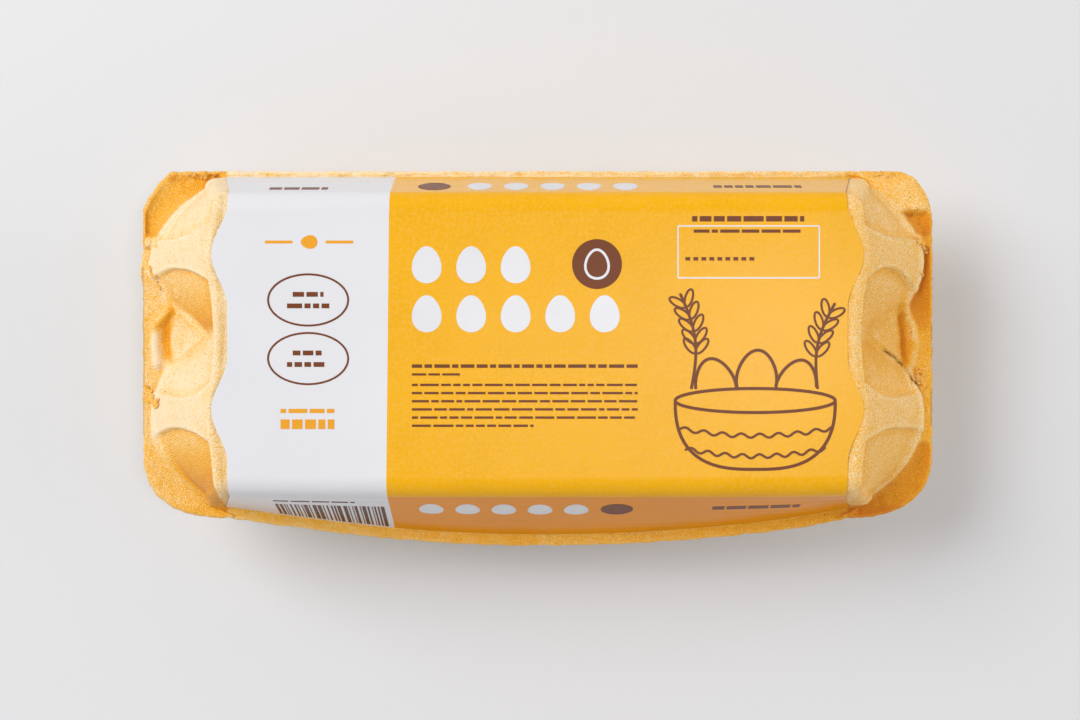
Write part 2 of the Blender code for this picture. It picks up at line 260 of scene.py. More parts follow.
# Noise in the pulp, as scale, detail and roughness: blotches, grain, fine grain and pits
PULP_NOISES = ((240.0, 3.0, 0.5), (1700.0, 3.0, 0.65), (3300.0, 1.0, 0.5), (2600.0, 2.0, 0.6))

# Steps of depth in a fold, as painted shade and dye, between which the pulp's colour turns into the next
# one
PULP_STEPS = ((0.0, 0.5, "pulp_middle"), (0.5, 1.0, "pulp_deep"), (1.25, 2.2, "pulp_shade"))

# Specks in the pulp: their scale, the share of places that have one, and their strength
SPECKS = ((330.0, 0.22, 0.75), (560.0, 0.20, 0.55))

# How the pulp's ridges and creases are found for its colour: painted highlights on ridges and painted
# shade in creases
CREASE_ROUNDS = 14
CREASE_DEPTH = 0.22 * MM

# How finely the lid and the label are divided
LONG_POINTS = 150
END_POINTS = 230
FILLET_POINTS = 10
WALL_STEPS = 46
ARC_STEPS = 7

# The camera, straight above: its place, and its lens on a 36 mm sensor
CAMERA_PLACE = (0.8 * MM, 0.15 * MM, 672.0 * MM)
CAMERA_LENS = 64.0

# How far the floor lies under the cups, so that the two never share a plane
FLOOR_GAP = 0.05 * MM

# Brightness of the studio round the table, near the floor and overhead
SKY_LOW = 0.70
SKY_HIGH = 0.265


def length_property(name, description, default):
    """A length that a user may change."""
    return FloatProperty(name=name, description=description, default=default, min=0.0, unit='LENGTH')


def colour_property(name, description, default):
    """A colour that a user may change, as linear values."""
    return FloatVectorProperty(name=name, description=description, default=default, size=3,
                               subtype='COLOR')


class CartonShape(bpy.types.PropertyGroup):
    """Sizes of the relief that a user may want to change."""
    leaf_depth: length_property(
        "Leaf depth", "Depth of the leaf-shaped hollows in the lid's ends", 1.9 * MM)
    bead_height: length_property(
        "Bead height", "Height of the bead along the lid's shoulders", 0.55 * MM)
    pulp_relief: length_property("Pulp relief", "Height of the pulp's unevenness", 0.16 * MM)
    paper_wave: length_property("Paper wave", "Height of the label's gentle waves", 0.07 * MM)


class CartonColours(bpy.types.PropertyGroup):
    """Colours of the pulp, the paper and the inks, as linear values."""
    # From open to darkest, the pulp's colours are painted light and shade as well as dye: cream for pulp
    # in full light, the oranges for pulp on slopes turned away, in folds and in shade
    pulp_open: colour_property(
        "Open pulp", "Pulp where light reaches it freely", (0.942, 0.748, 0.488))
    pulp_middle: colour_property(
        "Dyed pulp", "Pulp on the slopes, with more dye in it", (0.93, 0.575, 0.145))
    pulp_deep: colour_property("Deep pulp", "Pulp in its folds and hollows", (0.90, 0.415, 0.013))
    pulp_shade: colour_property(
        "Darkest pulp", "Pulp in the deepest and most dyed places", (0.72, 0.235, 0.006))
    speck: colour_property("Specks", "Dark fibres in the pulp", (0.16, 0.10, 0.05))
    # Painted shade inside the cracks and the rim gaps; the pits take the same colour
    crack_and_gap_shade: colour_property("Cracks", "Insides of tears and cracks in the pulp", (0.13, 0.032, 0.005))
    paper: colour_property("Paper", "Unprinted label paper", (0.695, 0.688, 0.709))
    yellow: colour_property("Yellow field", "Printed yellow field of the label", (0.82, 0.40, 0.003))
    # The front wall's deeper yellow is painted shade: the front wall lies in shade
    yellow_front_shaded: colour_property(
        "Front yellow", "Deeper yellow of the label's front wall", (0.81, 0.275, 0.001))
    brown: colour_property("Brown ink", "Brown lines and shapes", (0.17, 0.052, 0.020))
    orange: colour_property("Orange ink", "Orange ornament on the white field", (0.77, 0.335, 0.026))
    floor: colour_property("Floor", "Plain pale floor", (0.69, 0.688, 0.697))


def smooth_step(value):
    value = np.clip(value, 0.0, 1.0)
    return value * value * (3 - 2 * value)


def smooth_max(first, second, softness):
    return 0.5 * (first + second + np.sqrt((first - second) ** 2 + softness ** 2))


def hump(value, middle, width):
    """1 at the middle, falling off to 0 over about the width on both sides."""
    return np.exp(-((value - middle) / width) ** 2)


def bow(x):
    """How far the front flap bows and drops at x, from 0 at its ends to 1 in the middle."""
    inside = np.clip(1.0 - (x / BOW_HALF_LENGTH) ** 2, 0.0, None)
    return inside ** np.where(x < 0, BOW_POWER_LEFT, BOW_POWER_RIGHT)


def nose_row(y):
    """Middle line of the nose that y belongs to."""
    return np.where(y > NOSE_MIDDLE, NOSE_ROWS[0], NOSE_ROWS[1])


def between_rows(y):
    return (y < NOSE_ROWS[0]) & (y > NOSE_ROWS[1])


def nose_reach(y):
    """Reach of an end wall at its foot, where each row of eggs makes a nose."""
    away = np.abs(y - nose_row(y)) / NOSE_HALF_WIDTH
    outer = np.where(y < NOSE_ROWS[1], (away / FRONT_FLANK_STRETCH) ** FRONT_FLANK_POWER, away)
    inner_depth, outer_depth = INNER_FLANK_DEPTH * away ** 2, OUTER_FLANK_DEPTH * outer ** 2
    return NOSE_TIP - np.where(between_rows(y), inner_depth, outer_depth)


def shoulder_reach(y):
    return SHOULDER + SHOULDER_LOBE * sum(hump(y, row, SHOULDER_LOBE_WIDTH) for row in NOSE_ROWS)


def long_wall(x, at_front):
    """Reach of a long wall's virtual top edge and of its foot, and its foot's height, at x."""
    if at_front:
        curve = bow(x)
        foot = RIM_FRONT + FLAP_BOW * curve - FRONT_FLANGE
        return EDGE_FRONT + 0 * x, foot, FOOT_HEIGHT - FLAP_DROP * curve
    return EDGE_BACK + 0 * x, FOOT_BACK + 0 * x, FOOT_HEIGHT + 0 * x


def wall_shape(edge, foot, foot_height, radius):
    """Outward and upward share of a wall's slant, its turn, its edge's tangent and its length."""
    run, rise = foot - edge, TOP - foot_height
    length = np.hypot(run, rise)
    turn = np.arctan2(rise, run)
    return rise / length, run / length, turn, radius * np.tan(turn / 2), length


def wall_point(level, edge, foot, foot_height, radius):
    """Reach and height on a wall: level 0 is its foot, 1 where its edge starts to turn, 2 its top."""
    out, up, turn, tangent, _ = wall_shape(edge, foot, foot_height, radius)
    if level <= 1:
        reach = foot + (edge + tangent * up - foot) * level
        return reach, foot_height + (TOP - tangent * out - foot_height) * level
    angle = turn * (2 - level)
    return edge - tangent + radius * np.sin(angle), TOP - radius + radius * np.cos(angle)


def facet_reach(height):
    """Reach of the sloping facet in the valley between the two noses."""
    return VALLEY_FOOT - VALLEY_SLOPE * (height - RIM_TOP)


def leaf_border(y, reach, left):
    """Distance of a place on an end wall past the border of its leaf, towards the leaf's middle."""
    start = np.zeros(np.shape(y + reach + left))
    back, outer = y > NOSE_MIDDLE, (y > NOSE_ROWS[0]) | (y < NOSE_ROWS[1])
    for at_left, at_back, at_outer, nearest, middle, curve_up, curve_down in LEAVES:
        past = (reach - middle * MM) / LEAF_SPREAD
        border = nearest + np.where(past < 0, curve_up, curve_down) * past ** 2
        here = (left == at_left) & (back == at_back) & (outer == at_outer)
        start = np.where(here, np.minimum(border, LEAF_FURTHEST) * MM, start)
    return np.abs(y - nose_row(y)) - start


def leaf_room(y, reach, height):
    """1 where a leaf has room on an end wall, fading out at the bead, the foot and the facet."""
    below_bead = smooth_step((TOP - LEAF_BELOW_TOP - height) / LEAF_TOP_FADE)
    above_foot = 0.3 + 0.7 * smooth_step((height - FOOT_HEIGHT) / LEAF_FOOT_FADE)
    beside_facet = smooth_step((reach - facet_reach(height)) / LEAF_RIDGE)
    return below_bead * above_foot * np.where(between_rows(y), beside_facet, 1.0)


def leaf_hollow(y, reach, height, left):
    """Share of the leaf depth at a place on an end wall, from 0 outside a leaf to 1 in it."""
    return smooth_step(leaf_border(y, reach, left) / LEAF_EDGE) * leaf_room(y, reach, height)


def end_wall(level, y, leaf_depth, left):
    """Reach and height of an end wall at a level, with its valley and its leaf-shaped hollows."""
    reach, height = wall_point(level, shoulder_reach(y), nose_reach(y), FOOT_HEIGHT, SHOULDER_RADIUS)
    facet = facet_reach(height)
    ridge = FACET_RIDGE * hump(reach, facet, 1.1 * MM)
    lip = hump(leaf_border(y, reach, left), 0.0, LEAF_EDGE) * leaf_room(y, reach, height)
    reach = reach + LEAF_LIP * lip - leaf_depth * leaf_hollow(y, reach, height, left)
    reach = np.where(between_rows(y), smooth_max(reach, facet, 0.3 * MM) + ridge, reach)
    return reach, height + FOOT_RIDGE * hump(level, 0.0, 0.05)


def corner(level, at_front, leaf_depth, left):
    """Where a long wall stops and an end wall starts at a level, both beside their corner."""
    sign = -1 if at_front else 1
    x = SHOULDER
    for _ in range(4):
        reach, height = wall_point(level, *long_wall(np.float64(x), at_front), LONG_EDGE_RADIUS)
        start = sign * (reach - CORNER_RADIUS)
        end_reach, end_height = end_wall(level, start, leaf_depth, left)
        x = end_reach - CORNER_RADIUS
    return (x, sign * reach, height), (end_reach, start, end_height)


def fillet(first, second):
    """Points of the quarter turn from a long wall's end to an end wall's start."""
    share = np.arange(1, FILLET_POINTS + 1) / (FILLET_POINTS + 1)
    angle = share * math.pi / 2
    x = first[0] + (second[0] - first[0]) * np.sin(angle)
    y = second[1] + (first[1] - second[1]) * np.cos(angle)
    return np.stack([x, y, first[2] + (second[2] - first[2]) * share], axis=1)


def wall_end(level, leaf_depth, left):
    """An end's points at a level, from back to front, and where the long walls beside it stop."""
    back_long, back_end = corner(level, False, leaf_depth, left)
    front_long, front_end = corner(level, True, leaf_depth, left)
    y = np.linspace(back_end[1], front_end[1], END_POINTS)
    reach, height = end_wall(level, y, leaf_depth, left)
    points = np.concatenate([fillet(back_long, back_end), np.stack([reach, y, height], axis=1),
                             fillet(front_long, front_end)[::-1]])
    return points, back_long[0], front_long[0]


def wall_ring(level, leaf_depth):
    """One closed ring of the lid's walls, clockwise seen from above."""
    right, right_back, right_front = wall_end(level, leaf_depth, False)
    left, left_back, left_front = wall_end(level, leaf_depth, True)
    sides = []
    for low, high, at_front in ((-left_back, right_back, False), (-left_front, right_front, True)):
        x = np.linspace(low, high, LONG_POINTS)
        reach, height = wall_point(level, *long_wall(x, at_front), LONG_EDGE_RADIUS)
        sides.append(np.stack([x, -reach if at_front else reach, height + 0 * x], axis=1))
    return np.concatenate([sides[0], right, sides[1][::-1], left[::-1] * (-1, 1, 1)])


def corner_arc(half_length, edge, shape):
    """Rounded corner of a rim in the +X +Y quarter, from its long side to its end."""
    across, along, power = shape
    angle = np.linspace(0, math.pi / 2, 40)
    x = half_length - across + across * np.sin(angle) ** (2 / power)
    y = edge - along + along * np.cos(angle) ** (2 / power)
    return np.stack([x, y], axis=1)


def path_fractions(path):
    steps = np.hypot(*np.diff(path, axis=0).T)
    lengths = np.concatenate([[0], np.cumsum(steps)])
    return lengths / lengths[-1]


def rim_ring(fractions, half_length, back, front, front_bow):
    """Flat outline of a rim, its points spread like those of a wall ring's right and left ends."""
    ends = []
    for spread, back_corner in zip(fractions, (RIGHT_BACK_CORNER, LEFT_BACK_CORNER)):
        front_arc = corner_arc(half_length, front, FRONT_CORNER)[::-1] * (1, -1)
        path = np.concatenate([[(RIM_RUN, back)], corner_arc(half_length, back, back_corner),
                               front_arc, [(RIM_RUN, -front)]])
        along = path_fractions(path)
        ends.append(np.stack([np.interp(spread, along, path[:, 0]),
                              np.interp(spread, along, path[:, 1])], axis=1))
    x = np.linspace(-RIM_RUN, RIM_RUN, LONG_POINTS)
    back_side = np.stack([x, back + 0 * x], axis=1)
    front_side = np.stack([x, -front - front_bow(x)], axis=1)[::-1]
    return np.concatenate([back_side, ends[0], front_side, ends[1][::-1] * (-1, 1)])


def front_share(count):
    """1 for a ring's points on the front side, 0 for the others."""
    share = np.zeros(count)
    start = count // 2
    share[start:start + LONG_POINTS] = 1.0
    return share


def box_share(x, y, box):
    """1 inside a flat box given in millimetres and 0 outside it, with a soft edge."""
    low, high, softness = (np.array(part) * MM for part in box)
    inside = 1.0
    for value, start, end in zip((x, y), low, high):
        inside = inside * smooth_step((value - start) / softness + 0.5)
        inside = inside * smooth_step((end - value) / softness + 0.5)
    return inside


def gutter_share(x, y, start):
    """1 in the gutter of the left back corner, from its start outwards."""
    return smooth_step((-x - start) / (3 * MM)) * smooth_step((y - GUTTER_SIDE) / (2.5 * MM))


def flange_rise(x, y, share):
    """Height of the lid's flange over its plain level; share runs from 0 at the rim to 1 at the foot."""
    across = np.sin(math.pi * np.clip(share, 0, 1)) ** 0.6
    slot = box_share(x, y, SLOT_BOX) * smooth_step((y - 10 * MM) / (9 * MM))
    slot *= 1 - box_share(x, y, SLOT_BEAD_BOX)
    rise = PLATE_RISE * box_share(x, y, PLATE_BOX) - SLOT_DEPTH * slot
    rise -= LOW_CORNER_DEPTH * box_share(x, y, LOW_CORNER_BOX)
    rise = across * (rise - GUTTER_DEPTH * gutter_share(x, y, GUTTER_START))
    rise += LEDGE_RISE * hump(share, 1.0, 0.12) * (np.abs(x) < SHOULDER)
    return rise + TAB_RISE * box_share(-x, y, TAB_BOX) * smooth_step((1 - share) / 0.35)


def path_nearness(x, y, path, width):
    """1 on a path given in millimetres, falling off over the width beside it."""
    nearest = np.full(len(x), 1.0)
    for first, second in zip(path, path[1:]):
        (ax, ay), (bx, by) = np.array(first) * MM, np.array(second) * MM
        along = ((x - ax) * (bx - ax) + (y - ay) * (by - ay)) / ((bx - ax) ** 2 + (by - ay) ** 2)
        along = np.clip(along, 0, 1)
        nearest = np.minimum(nearest, np.hypot(x - ax - along * (bx - ax), y - ay - along * (by - ay)))
    return hump(nearest, 0.0, width)


def end_relief(places):
    """Height that posts, grooves and cracks add to the lid's ends."""
    x, y, z = places.T
    rise = sum(height * MM * path_nearness(x, y, path, width * MM) for path, height, width in END_LINES)
    rise -= CRACK_DEPTH * sum(path_nearness(x, y, path, CRACK_WIDTH) for path in CRACKS)
    return rise * smooth_step((END_LINES_TOP - z) / (8 * MM)) * (z > RIM_UNDERSIDE + 1.0 * MM)


def lid_rings(leaf_depth):
    """All rings of the lid, from the middle of its underside out round its rim and up to its top."""
    foot = wall_ring(0.0, leaf_depth)
    count = len(foot)
    end_points = END_POINTS + 2 * FILLET_POINTS
    right_path = foot[LONG_POINTS - 1:LONG_POINTS + end_points + 1, :2]
    left_path = np.concatenate([foot[-end_points - 1:], foot[:1]])[::-1, :2]
    fractions = [path_fractions(path)[1:-1] for path in (right_path, left_path)]
    at_front = front_share(count)

    def outline(inset):
        flat = rim_ring(fractions, LID_HALF_LENGTH - inset, RIM_BACK - inset, RIM_FRONT - inset,
                        lambda x: FLAP_BOW * bow(x))
        top = RIM_TOP - FLAP_DROP * bow(flat[:, 0]) * at_front
        return flat, top

    rings = []
    room = TRAY_FRONT + CONTACT_GAP
    flat = rim_ring(fractions, LID_HALF_LENGTH - 12 * MM, RIM_BACK - 12 * MM, room,
                    lambda x: FLAP_ROOM_BOW * bow(x))
    rings.append(np.column_stack([flat, np.full(count, RIM_UNDERSIDE)]))
    flat = rim_ring(fractions, LID_HALF_LENGTH - 8 * MM, RIM_BACK - 8 * MM, room,
                    lambda x: bow(x) * (FLAP_ROOM_BOW + FLAP_ROOM_SLOPE * FLAP_DROP * bow(x)))
    rings.append(np.column_stack([flat, outline(0.0)[1] - RIM_THICKNESS]))
    radius = RIM_THICKNESS / 2
    for angle in np.radians(np.linspace(-90, 90, 8)):
        flat, top = outline(radius * (1 - math.cos(angle)))
        rings.append(np.column_stack([flat, top - radius + radius * math.sin(angle)]))
    inner = rings[-1]
    for share in (0.05, 0.12, 0.2, 0.3, 0.4, 0.5, 0.6, 0.7, 0.78, 0.86, 0.92, 0.97):
        ring = inner + (foot - inner) * share
        ring[:, 2] += flange_rise(ring[:, 0], ring[:, 1], share)
        at_end = np.abs(ring[:, 0]) > SHOULDER
        ring[:, 2] -= at_end * FOOT_RIDGE * (share - np.exp(-((1 - share) / 0.14) ** 2))
        rings.append(ring)
    for step in range(WALL_STEPS + 1):
        rings.append(wall_ring(step / WALL_STEPS, leaf_depth))
    for step in range(1, ARC_STEPS + 1):
        rings.append(wall_ring(1 + step / ARC_STEPS, leaf_depth))
    last = rings[-1]
    middle = (EDGE_BACK - EDGE_FRONT) / 2
    for inset in (0.7, 1.4, 2.2, 3.2, 4.6, 7.0, 12.0):
        ring = last.copy()
        ring[:, 0] *= 1 - inset * MM / SHOULDER
        ring[:, 1] = middle + (ring[:, 1] - middle) * (1 - inset * MM / EDGE_FRONT)
        rings.append(ring)
    return np.stack(rings)


def add_object(name, mesh, materials=()):
    item = bpy.data.objects.new(name, mesh)
    bpy.context.scene.collection.objects.link(item)
    for material in materials:
        mesh.materials.append(material)
    return item


def quad_grid(rows, columns, closed=False, flipped=False):
    """Quads between the points of a grid; closed joins the ends of each row."""
    index = np.arange(rows * columns).reshape(rows, columns)
    if closed:
        index = np.concatenate([index, index[:, :1]], axis=1)
    quads = np.stack([index[:-1, :-1], index[1:, :-1], index[1:, 1:], index[:-1, 1:]], axis=-1)
    quads = quads.reshape(-1, 4)
    return (quads[:, [0, 3, 2, 1]] if flipped else quads).tolist()


def new_mesh(name, places, faces):
    mesh = bpy.data.meshes.new(name)
    mesh.from_pydata(places, [], faces)
    mesh.update()
    return mesh


def ring_mesh(name, rings):
    """Closed mesh through rings of equal length, with a face over its first and last ring."""
    levels, count, _ = rings.shape
    faces = quad_grid(levels, count, closed=True)
    faces.append(list(range(count)))
    faces.append(list(range((levels - 1) * count, levels * count))[::-1])
    return new_mesh(name, rings.reshape(-1, 3).tolist(), faces)


def face_outward(mesh):
    work = bmesh.new()
    work.from_mesh(mesh)
    bmesh.ops.recalc_face_normals(work, faces=work.faces)
    work.to_mesh(mesh)
    work.free()


def vertex_array(mesh, kind="co"):
    values = np.empty(len(mesh.vertices) * 3)
    mesh.vertices.foreach_get(kind, values)
    return values.reshape(-1, 3)


def normal_array(mesh):
    return vertex_array(mesh, "normal")


def set_vertices(mesh, places):
    mesh.vertices.foreach_set("co", places.ravel())
    mesh.update()


def noise_values(places, size, octaves, offset):
    """Fractal noise about 0 at each place, for features of about the given size."""
    scaled = places / size + offset
    return np.array([noise.fractal(place, 1.0, 2.0, octaves) for place in scaled.tolist()])


def keep_in_box(places):
    return np.clip(places, np.array(CAD_BOX[0]), np.array(CAD_BOX[1]))


def occlusion(mesh, trees, reach, ray_count):
    """How hemmed in each vertex is, from 0 in the open to 1 in a deep fold; the pulp's colour uses it as
    painted shade.
    """
    golden = math.pi * (3 - math.sqrt(5))
    directions = []
    for number in range(ray_count):
        up = math.sqrt((number + 0.5) / ray_count)
        flat = math.sqrt(1 - up * up)
        angle = golden * number
        directions.append((flat * math.cos(angle), flat * math.sin(angle), up))
    places, normals = vertex_array(mesh), normal_array(mesh)
    values = np.zeros(len(places))
    for number, (place, normal) in enumerate(zip(places.tolist(), normals.tolist())):
        normal = Vector(normal)
        turn = Vector((0, 0, 1)).rotation_difference(normal)
        start = Vector(place) + normal * (0.15 * MM)
        hidden = 0.0
        for direction in directions:
            ray = turn @ Vector(direction)
            nearest = reach
            for tree in trees:
                distance = tree.ray_cast(start, ray, nearest)[3]
                if distance is not None:
                    nearest = min(nearest, distance)
            hidden += 1 - nearest / reach
        values[number] = hidden / ray_count
    return values


def dye_and_rightward_shade(x):
    """The dye that all pulp has, with painted shade growing towards the right, where the carton's end
    lies in shade.
    """
    return DYE_AND_SHADE["all"] + DYE_AND_SHADE["rightwards"] * x / SHOULDER


def dye_and_shade_share(places):
    """Dye with painted light and shade on the lid: painted shade on its flange, in its gutter, slot and
    grooves, in the leaves on the noses' shaded sides, at its right end and along its front; painted
    light on its back flange, its upper right plate and in a band above its ends' foot.
    """
    x, y, z = places.T
    reach, row = np.abs(x), nose_row(y)
    at_end, at_left = reach > SHOULDER, x < 0
    flat = smooth_step((FOOT_HEIGHT + 0.5 * MM - z) / (0.7 * MM)) * (z > RIM_UNDERSIDE - 2 * MM)
    # Painted shade: more orange on the flat flange at the ends
    share = dye_and_rightward_shade(x) + DYE_AND_SHADE["flange"] * flat * at_end
    # Painted shade over the right end, which lies in shade
    share += DYE_AND_SHADE["right end"] * smooth_step((x - 95 * MM) / (3 * MM))
    # Painted shade on the left end's front part
    share += DYE_AND_SHADE["left front"] * at_left * smooth_step((-y - 20 * MM) / (12 * MM))
    # Painted highlight: a paler band above the ends' foot, where a ridge catches the light
    share -= DYE_AND_SHADE["foot"] * at_end * hump(z, FOOT_HEIGHT + 1.2 * MM, 1.1 * MM)
    # Painted light on the upper right plate, painted shade in the right slot and the lower right corner
    for amount, box in PAINTED_LIGHT_AND_SHADE_BOXES:
        share += amount * flat * box_share(x, y, box)
    # Painted shade in the left back corner's gutter
    share += DYE_AND_SHADE["gutter"] * flat * gutter_share(x, y, 103 * MM)
    # Painted shade on the leaves of the noses' shaded sides, deeper towards the valley
    leaf = leaf_hollow(y, reach, z, at_left) * at_end * (z > FOOT_HEIGHT)
    leaf *= smooth_step(np.abs(y - NOSE_MIDDLE) / (3 * MM))
    inward, outward = (np.clip(away / (21 * MM), 0, 1) ** 2 for away in (row - y, y - row))
    share += leaf * (y < row) * np.where(at_left, 0.20 + 0.55 * inward, 0.03 + 0.12 * inward)
    share += DYE_AND_SHADE["right leaf"] * leaf * (x > 0) * (y < NOSE_MIDDLE) * outward
    # Painted shade along the front flange, which lies in shade; painted light on the back flange
    share += (DYE_AND_SHADE["front flange"] + 0.10 * x / SHOULDER) * (y < -RIM_FRONT + 4 * MM)
    share -= DYE_AND_SHADE["back flange"] * (y > EDGE_BACK + 3 * MM) * (reach < SHOULDER)
    # Painted shade at the shoulders and in the valley between the noses
    high = smooth_step((z - TOP + 8 * MM) / (3 * MM))
    share += DYE_AND_SHADE["shoulder"] * high * hump(reach, SHOULDER, 4 * MM)
    beyond = smooth_step((reach - SHOULDER - 2 * MM) / (3 * MM))
    share += DYE_AND_SHADE["valley"] * beyond * hump(y, NOSE_MIDDLE, 7 * MM)
    share += DYE_AND_SHADE["tab"] * box_share(-x, y, TAB_DYE_BOX) * (z < RIM_TOP + 2.5 * MM)
    # Dye with painted shade in the grooves
    for path in (LEFT_GROOVE, RIGHT_GROOVE):
        share += DYE_AND_SHADE["groove"] * path_nearness(x, y, path, 1.3 * MM) * (z < GROOVE_TOP)
    return share


def store_values(mesh, name, values):
    attribute = mesh.attributes.new(name, 'FLOAT', 'POINT')
    attribute.data.foreach_set("value", values.astype(np.float32))


def finish_piece(item, slot, *replaced):
    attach(item, "root")
    if replaced:
        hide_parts(*replaced)


class Nodes:
    """Short way to add shader nodes and join them to sockets or values."""

    def __init__(self, name):
        self.material = bpy.data.materials.new(name)
        self.material.use_nodes = True
        self.tree = self.material.node_tree
        self.shader = self.tree.nodes["Principled BSDF"]

    def set(self, socket, value):
        if isinstance(value, bpy.types.NodeSocket):
            self.tree.links.new(value, socket)
        else:
            socket.default_value = value

    def add(self, kind, inputs=None, output=0, **settings):
        node = self.tree.nodes.new("ShaderNode" + kind)
        for name, value in settings.items():
            setattr(node, name, value)
        for name, value in (inputs or {}).items():
            self.set(node.inputs[name], value)
        return node.outputs[output]

    def math(self, operation, first, second=0.0):
        return self.add("Math", {0: first, 1: second}, operation=operation)

    def total(self, *parts):
        """Sum of values, each times its weight."""
        result = 0.0
        for value, weight in parts:
            result = self.math('ADD', result, self.math('MULTIPLY', value, weight))
        return result

    def centred(self, value):
        return self.math('SUBTRACT', value, 0.5)

    def attribute(self, name):
        return self.add("Attribute", output=2, attribute_name=name)

    def mix(self, factor, first, second):
        node = self.tree.nodes.new("ShaderNodeMix")
        node.data_type = 'RGBA'
        self.set(node.inputs["Factor"], factor)
        self.set(node.inputs[6], first)
        self.set(node.inputs[7], second)
        return node.outputs[2]

    def ramp(self, value, low, high):
        return self.add("MapRange", {"Value": value, "From Min": low, "From Max": high})

    def noise(self, place, scale, detail=2.0, roughness=0.5):
        return self.add("TexNoise", {"Vector": place, "Scale": scale, "Detail": detail,
                                     "Roughness": roughness})

    def finish(self, tint, bump, roughness, gloss):
        """Joins the shader's inputs."""
        for name, value in (("Base Color", tint), ("Normal", bump), ("Roughness", roughness),
                            ("Specular IOR Level", gloss)):
            self.set(self.shader.inputs[name], value)


def colour(value):
    return (*value, 1.0)


def pulp_material(name):
    """Rough dyed pulp: cream where open and orange in folds, as painted light and shade, mottled, with
    dark specks and fibres, and painted shade in cracks.
    """
    colours = bpy.context.scene.carton_colours
    nodes = Nodes(name)
    place = nodes.add("TexCoord", output=3)
    axes = nodes.add("SeparateXYZ", {0: place}).node.outputs
    blotches, grain, fine, rough = (nodes.noise(place, *values) for values in PULP_NOISES)

    # Painted shade in the folds, together with the dye
    fold_shade_and_dye = nodes.add("MapRange", {"Value": nodes.attribute("fold_shade_and_dye"), "From Min": 0.03,
                                    "From Max": 0.52}, clamp=False)
    speckle = nodes.total((nodes.centred(grain), 0.45), (nodes.centred(fine), 4.2))
    speckle = nodes.math('MULTIPLY', speckle, nodes.add("MapRange", {
        "Value": fold_shade_and_dye, "From Min": 0.0, "From Max": 0.3, "To Min": 0.5, "To Max": 1.0}))
    across = nodes.total(*((axes[axis], weight) for axis, weight in WIRE_HEADING.items()))
    wires = nodes.math('SINE', nodes.math('MULTIPLY', across, 2 * math.pi / WIRE_PITCH))
    wires = nodes.math('MULTIPLY', wires, nodes.attribute("weave"))
    # How deep the pulp's orange runs: painted shade in folds with the dye, paler on ridges as painted
    # highlight, with the wire pattern and blotches
    deep = nodes.total((fold_shade_and_dye, 1.0), (speckle, 1.0), (nodes.attribute("ridge"), -0.15), (wires, 0.20),
                       (nodes.centred(blotches), 0.55))

    tint = colour(colours.pulp_open)
    for low, high, shade in PULP_STEPS:
        tint = nodes.mix(nodes.ramp(deep, low, high), tint, colour(getattr(colours, shade)))
    flecks = nodes.math('MULTIPLY', nodes.ramp(fine, 0.60, 0.70), 0.45)
    tint = nodes.mix(flecks, tint, colour(colours.pulp_deep))
    pits = nodes.math('MULTIPLY', nodes.ramp(rough, 0.42, 0.34), 0.26)
    tint = nodes.mix(pits, tint, colour(colours.crack_and_gap_shade))
    for scale, picked_share, strength in SPECKS:
        cells = nodes.add("TexVoronoi", {"Vector": place, "Scale": scale}).node.outputs
        picked = nodes.math('LESS_THAN', nodes.add("SeparateColor", {0: cells["Color"]}), picked_share)
        dot = nodes.math('MULTIPLY', nodes.ramp(cells["Distance"], 0.11, 0.06), picked)
        tint = nodes.mix(nodes.math('MULTIPLY', dot, strength), tint, colour(colours.speck))
    # Painted shade: cracks are near black, and gaps between the rims half as dark
    crack_and_gap_shade = nodes.math('MULTIPLY', nodes.attribute("crack_and_gap_shade"), 0.9)
    tint = nodes.mix(crack_and_gap_shade, tint, colour(colours.crack_and_gap_shade))

    height = nodes.total((grain, 0.65), (fine, 0.45), (wires, -0.05))
    bump = nodes.add("Bump", {"Height": height, "Strength": 1.0, "Distance": 0.5 * MM})
    nodes.finish(tint, bump, 0.8, 0.35)
    nodes.shader.inputs["Sheen Weight"].default_value = 0.12
    nodes.shader.inputs["Sheen Roughness"].default_value = 0.5
    return nodes.material


def paper_material(name, base, roughness, mottle, gloss=0.35, dots=0.0):
    """Smooth printed paper with a soft sheen, a faint mottle, fine dots and a slight unevenness."""
    nodes = Nodes(name)
    place = nodes.add("TexCoord", output=3)
    clouds = nodes.noise(place, 45.0, 4.0, 0.6)
    grain = nodes.noise(place, 1800.0, 2.0)
    dark = tuple(channel * (1 - mottle) for channel in base)
    tint = nodes.mix(nodes.ramp(clouds, 0.35, 0.65), colour(dark), colour(base))
    if dots:
        paler = tuple(channel + (1 - channel) * dots for channel in base)
        screen = nodes.noise(place, 900.0, 2.0, 0.7)
        tint = nodes.mix(nodes.ramp(screen, 0.42, 0.72), tint, colour(paler))
    bump = nodes.add("Bump", {"Height": grain, "Strength": 0.12, "Distance": 0.05 * MM})
    rough = nodes.math('ADD', nodes.math('MULTIPLY', grain, 0.08), roughness - 0.04)
    nodes.finish(tint, bump, rough, gloss)
    return nodes.material


def convexity(places, normals, levels):
    """How far each place of a ring mesh stands out of its smoothed surroundings, along its normal."""
    rings = places.reshape(levels, -1, 3)
    smooth = rings.copy()
    for _ in range(CREASE_ROUNDS):
        beside = (np.roll(smooth, 1, axis=1) + np.roll(smooth, -1, axis=1)) / 2
        below = (np.roll(smooth, 1, axis=0) + np.roll(smooth, -1, axis=0)) / 2
        smooth[1:-1] = (0.5 * beside + 0.5 * below)[1:-1]
    return ((rings - smooth).reshape(-1, 3) * normals).sum(axis=1)


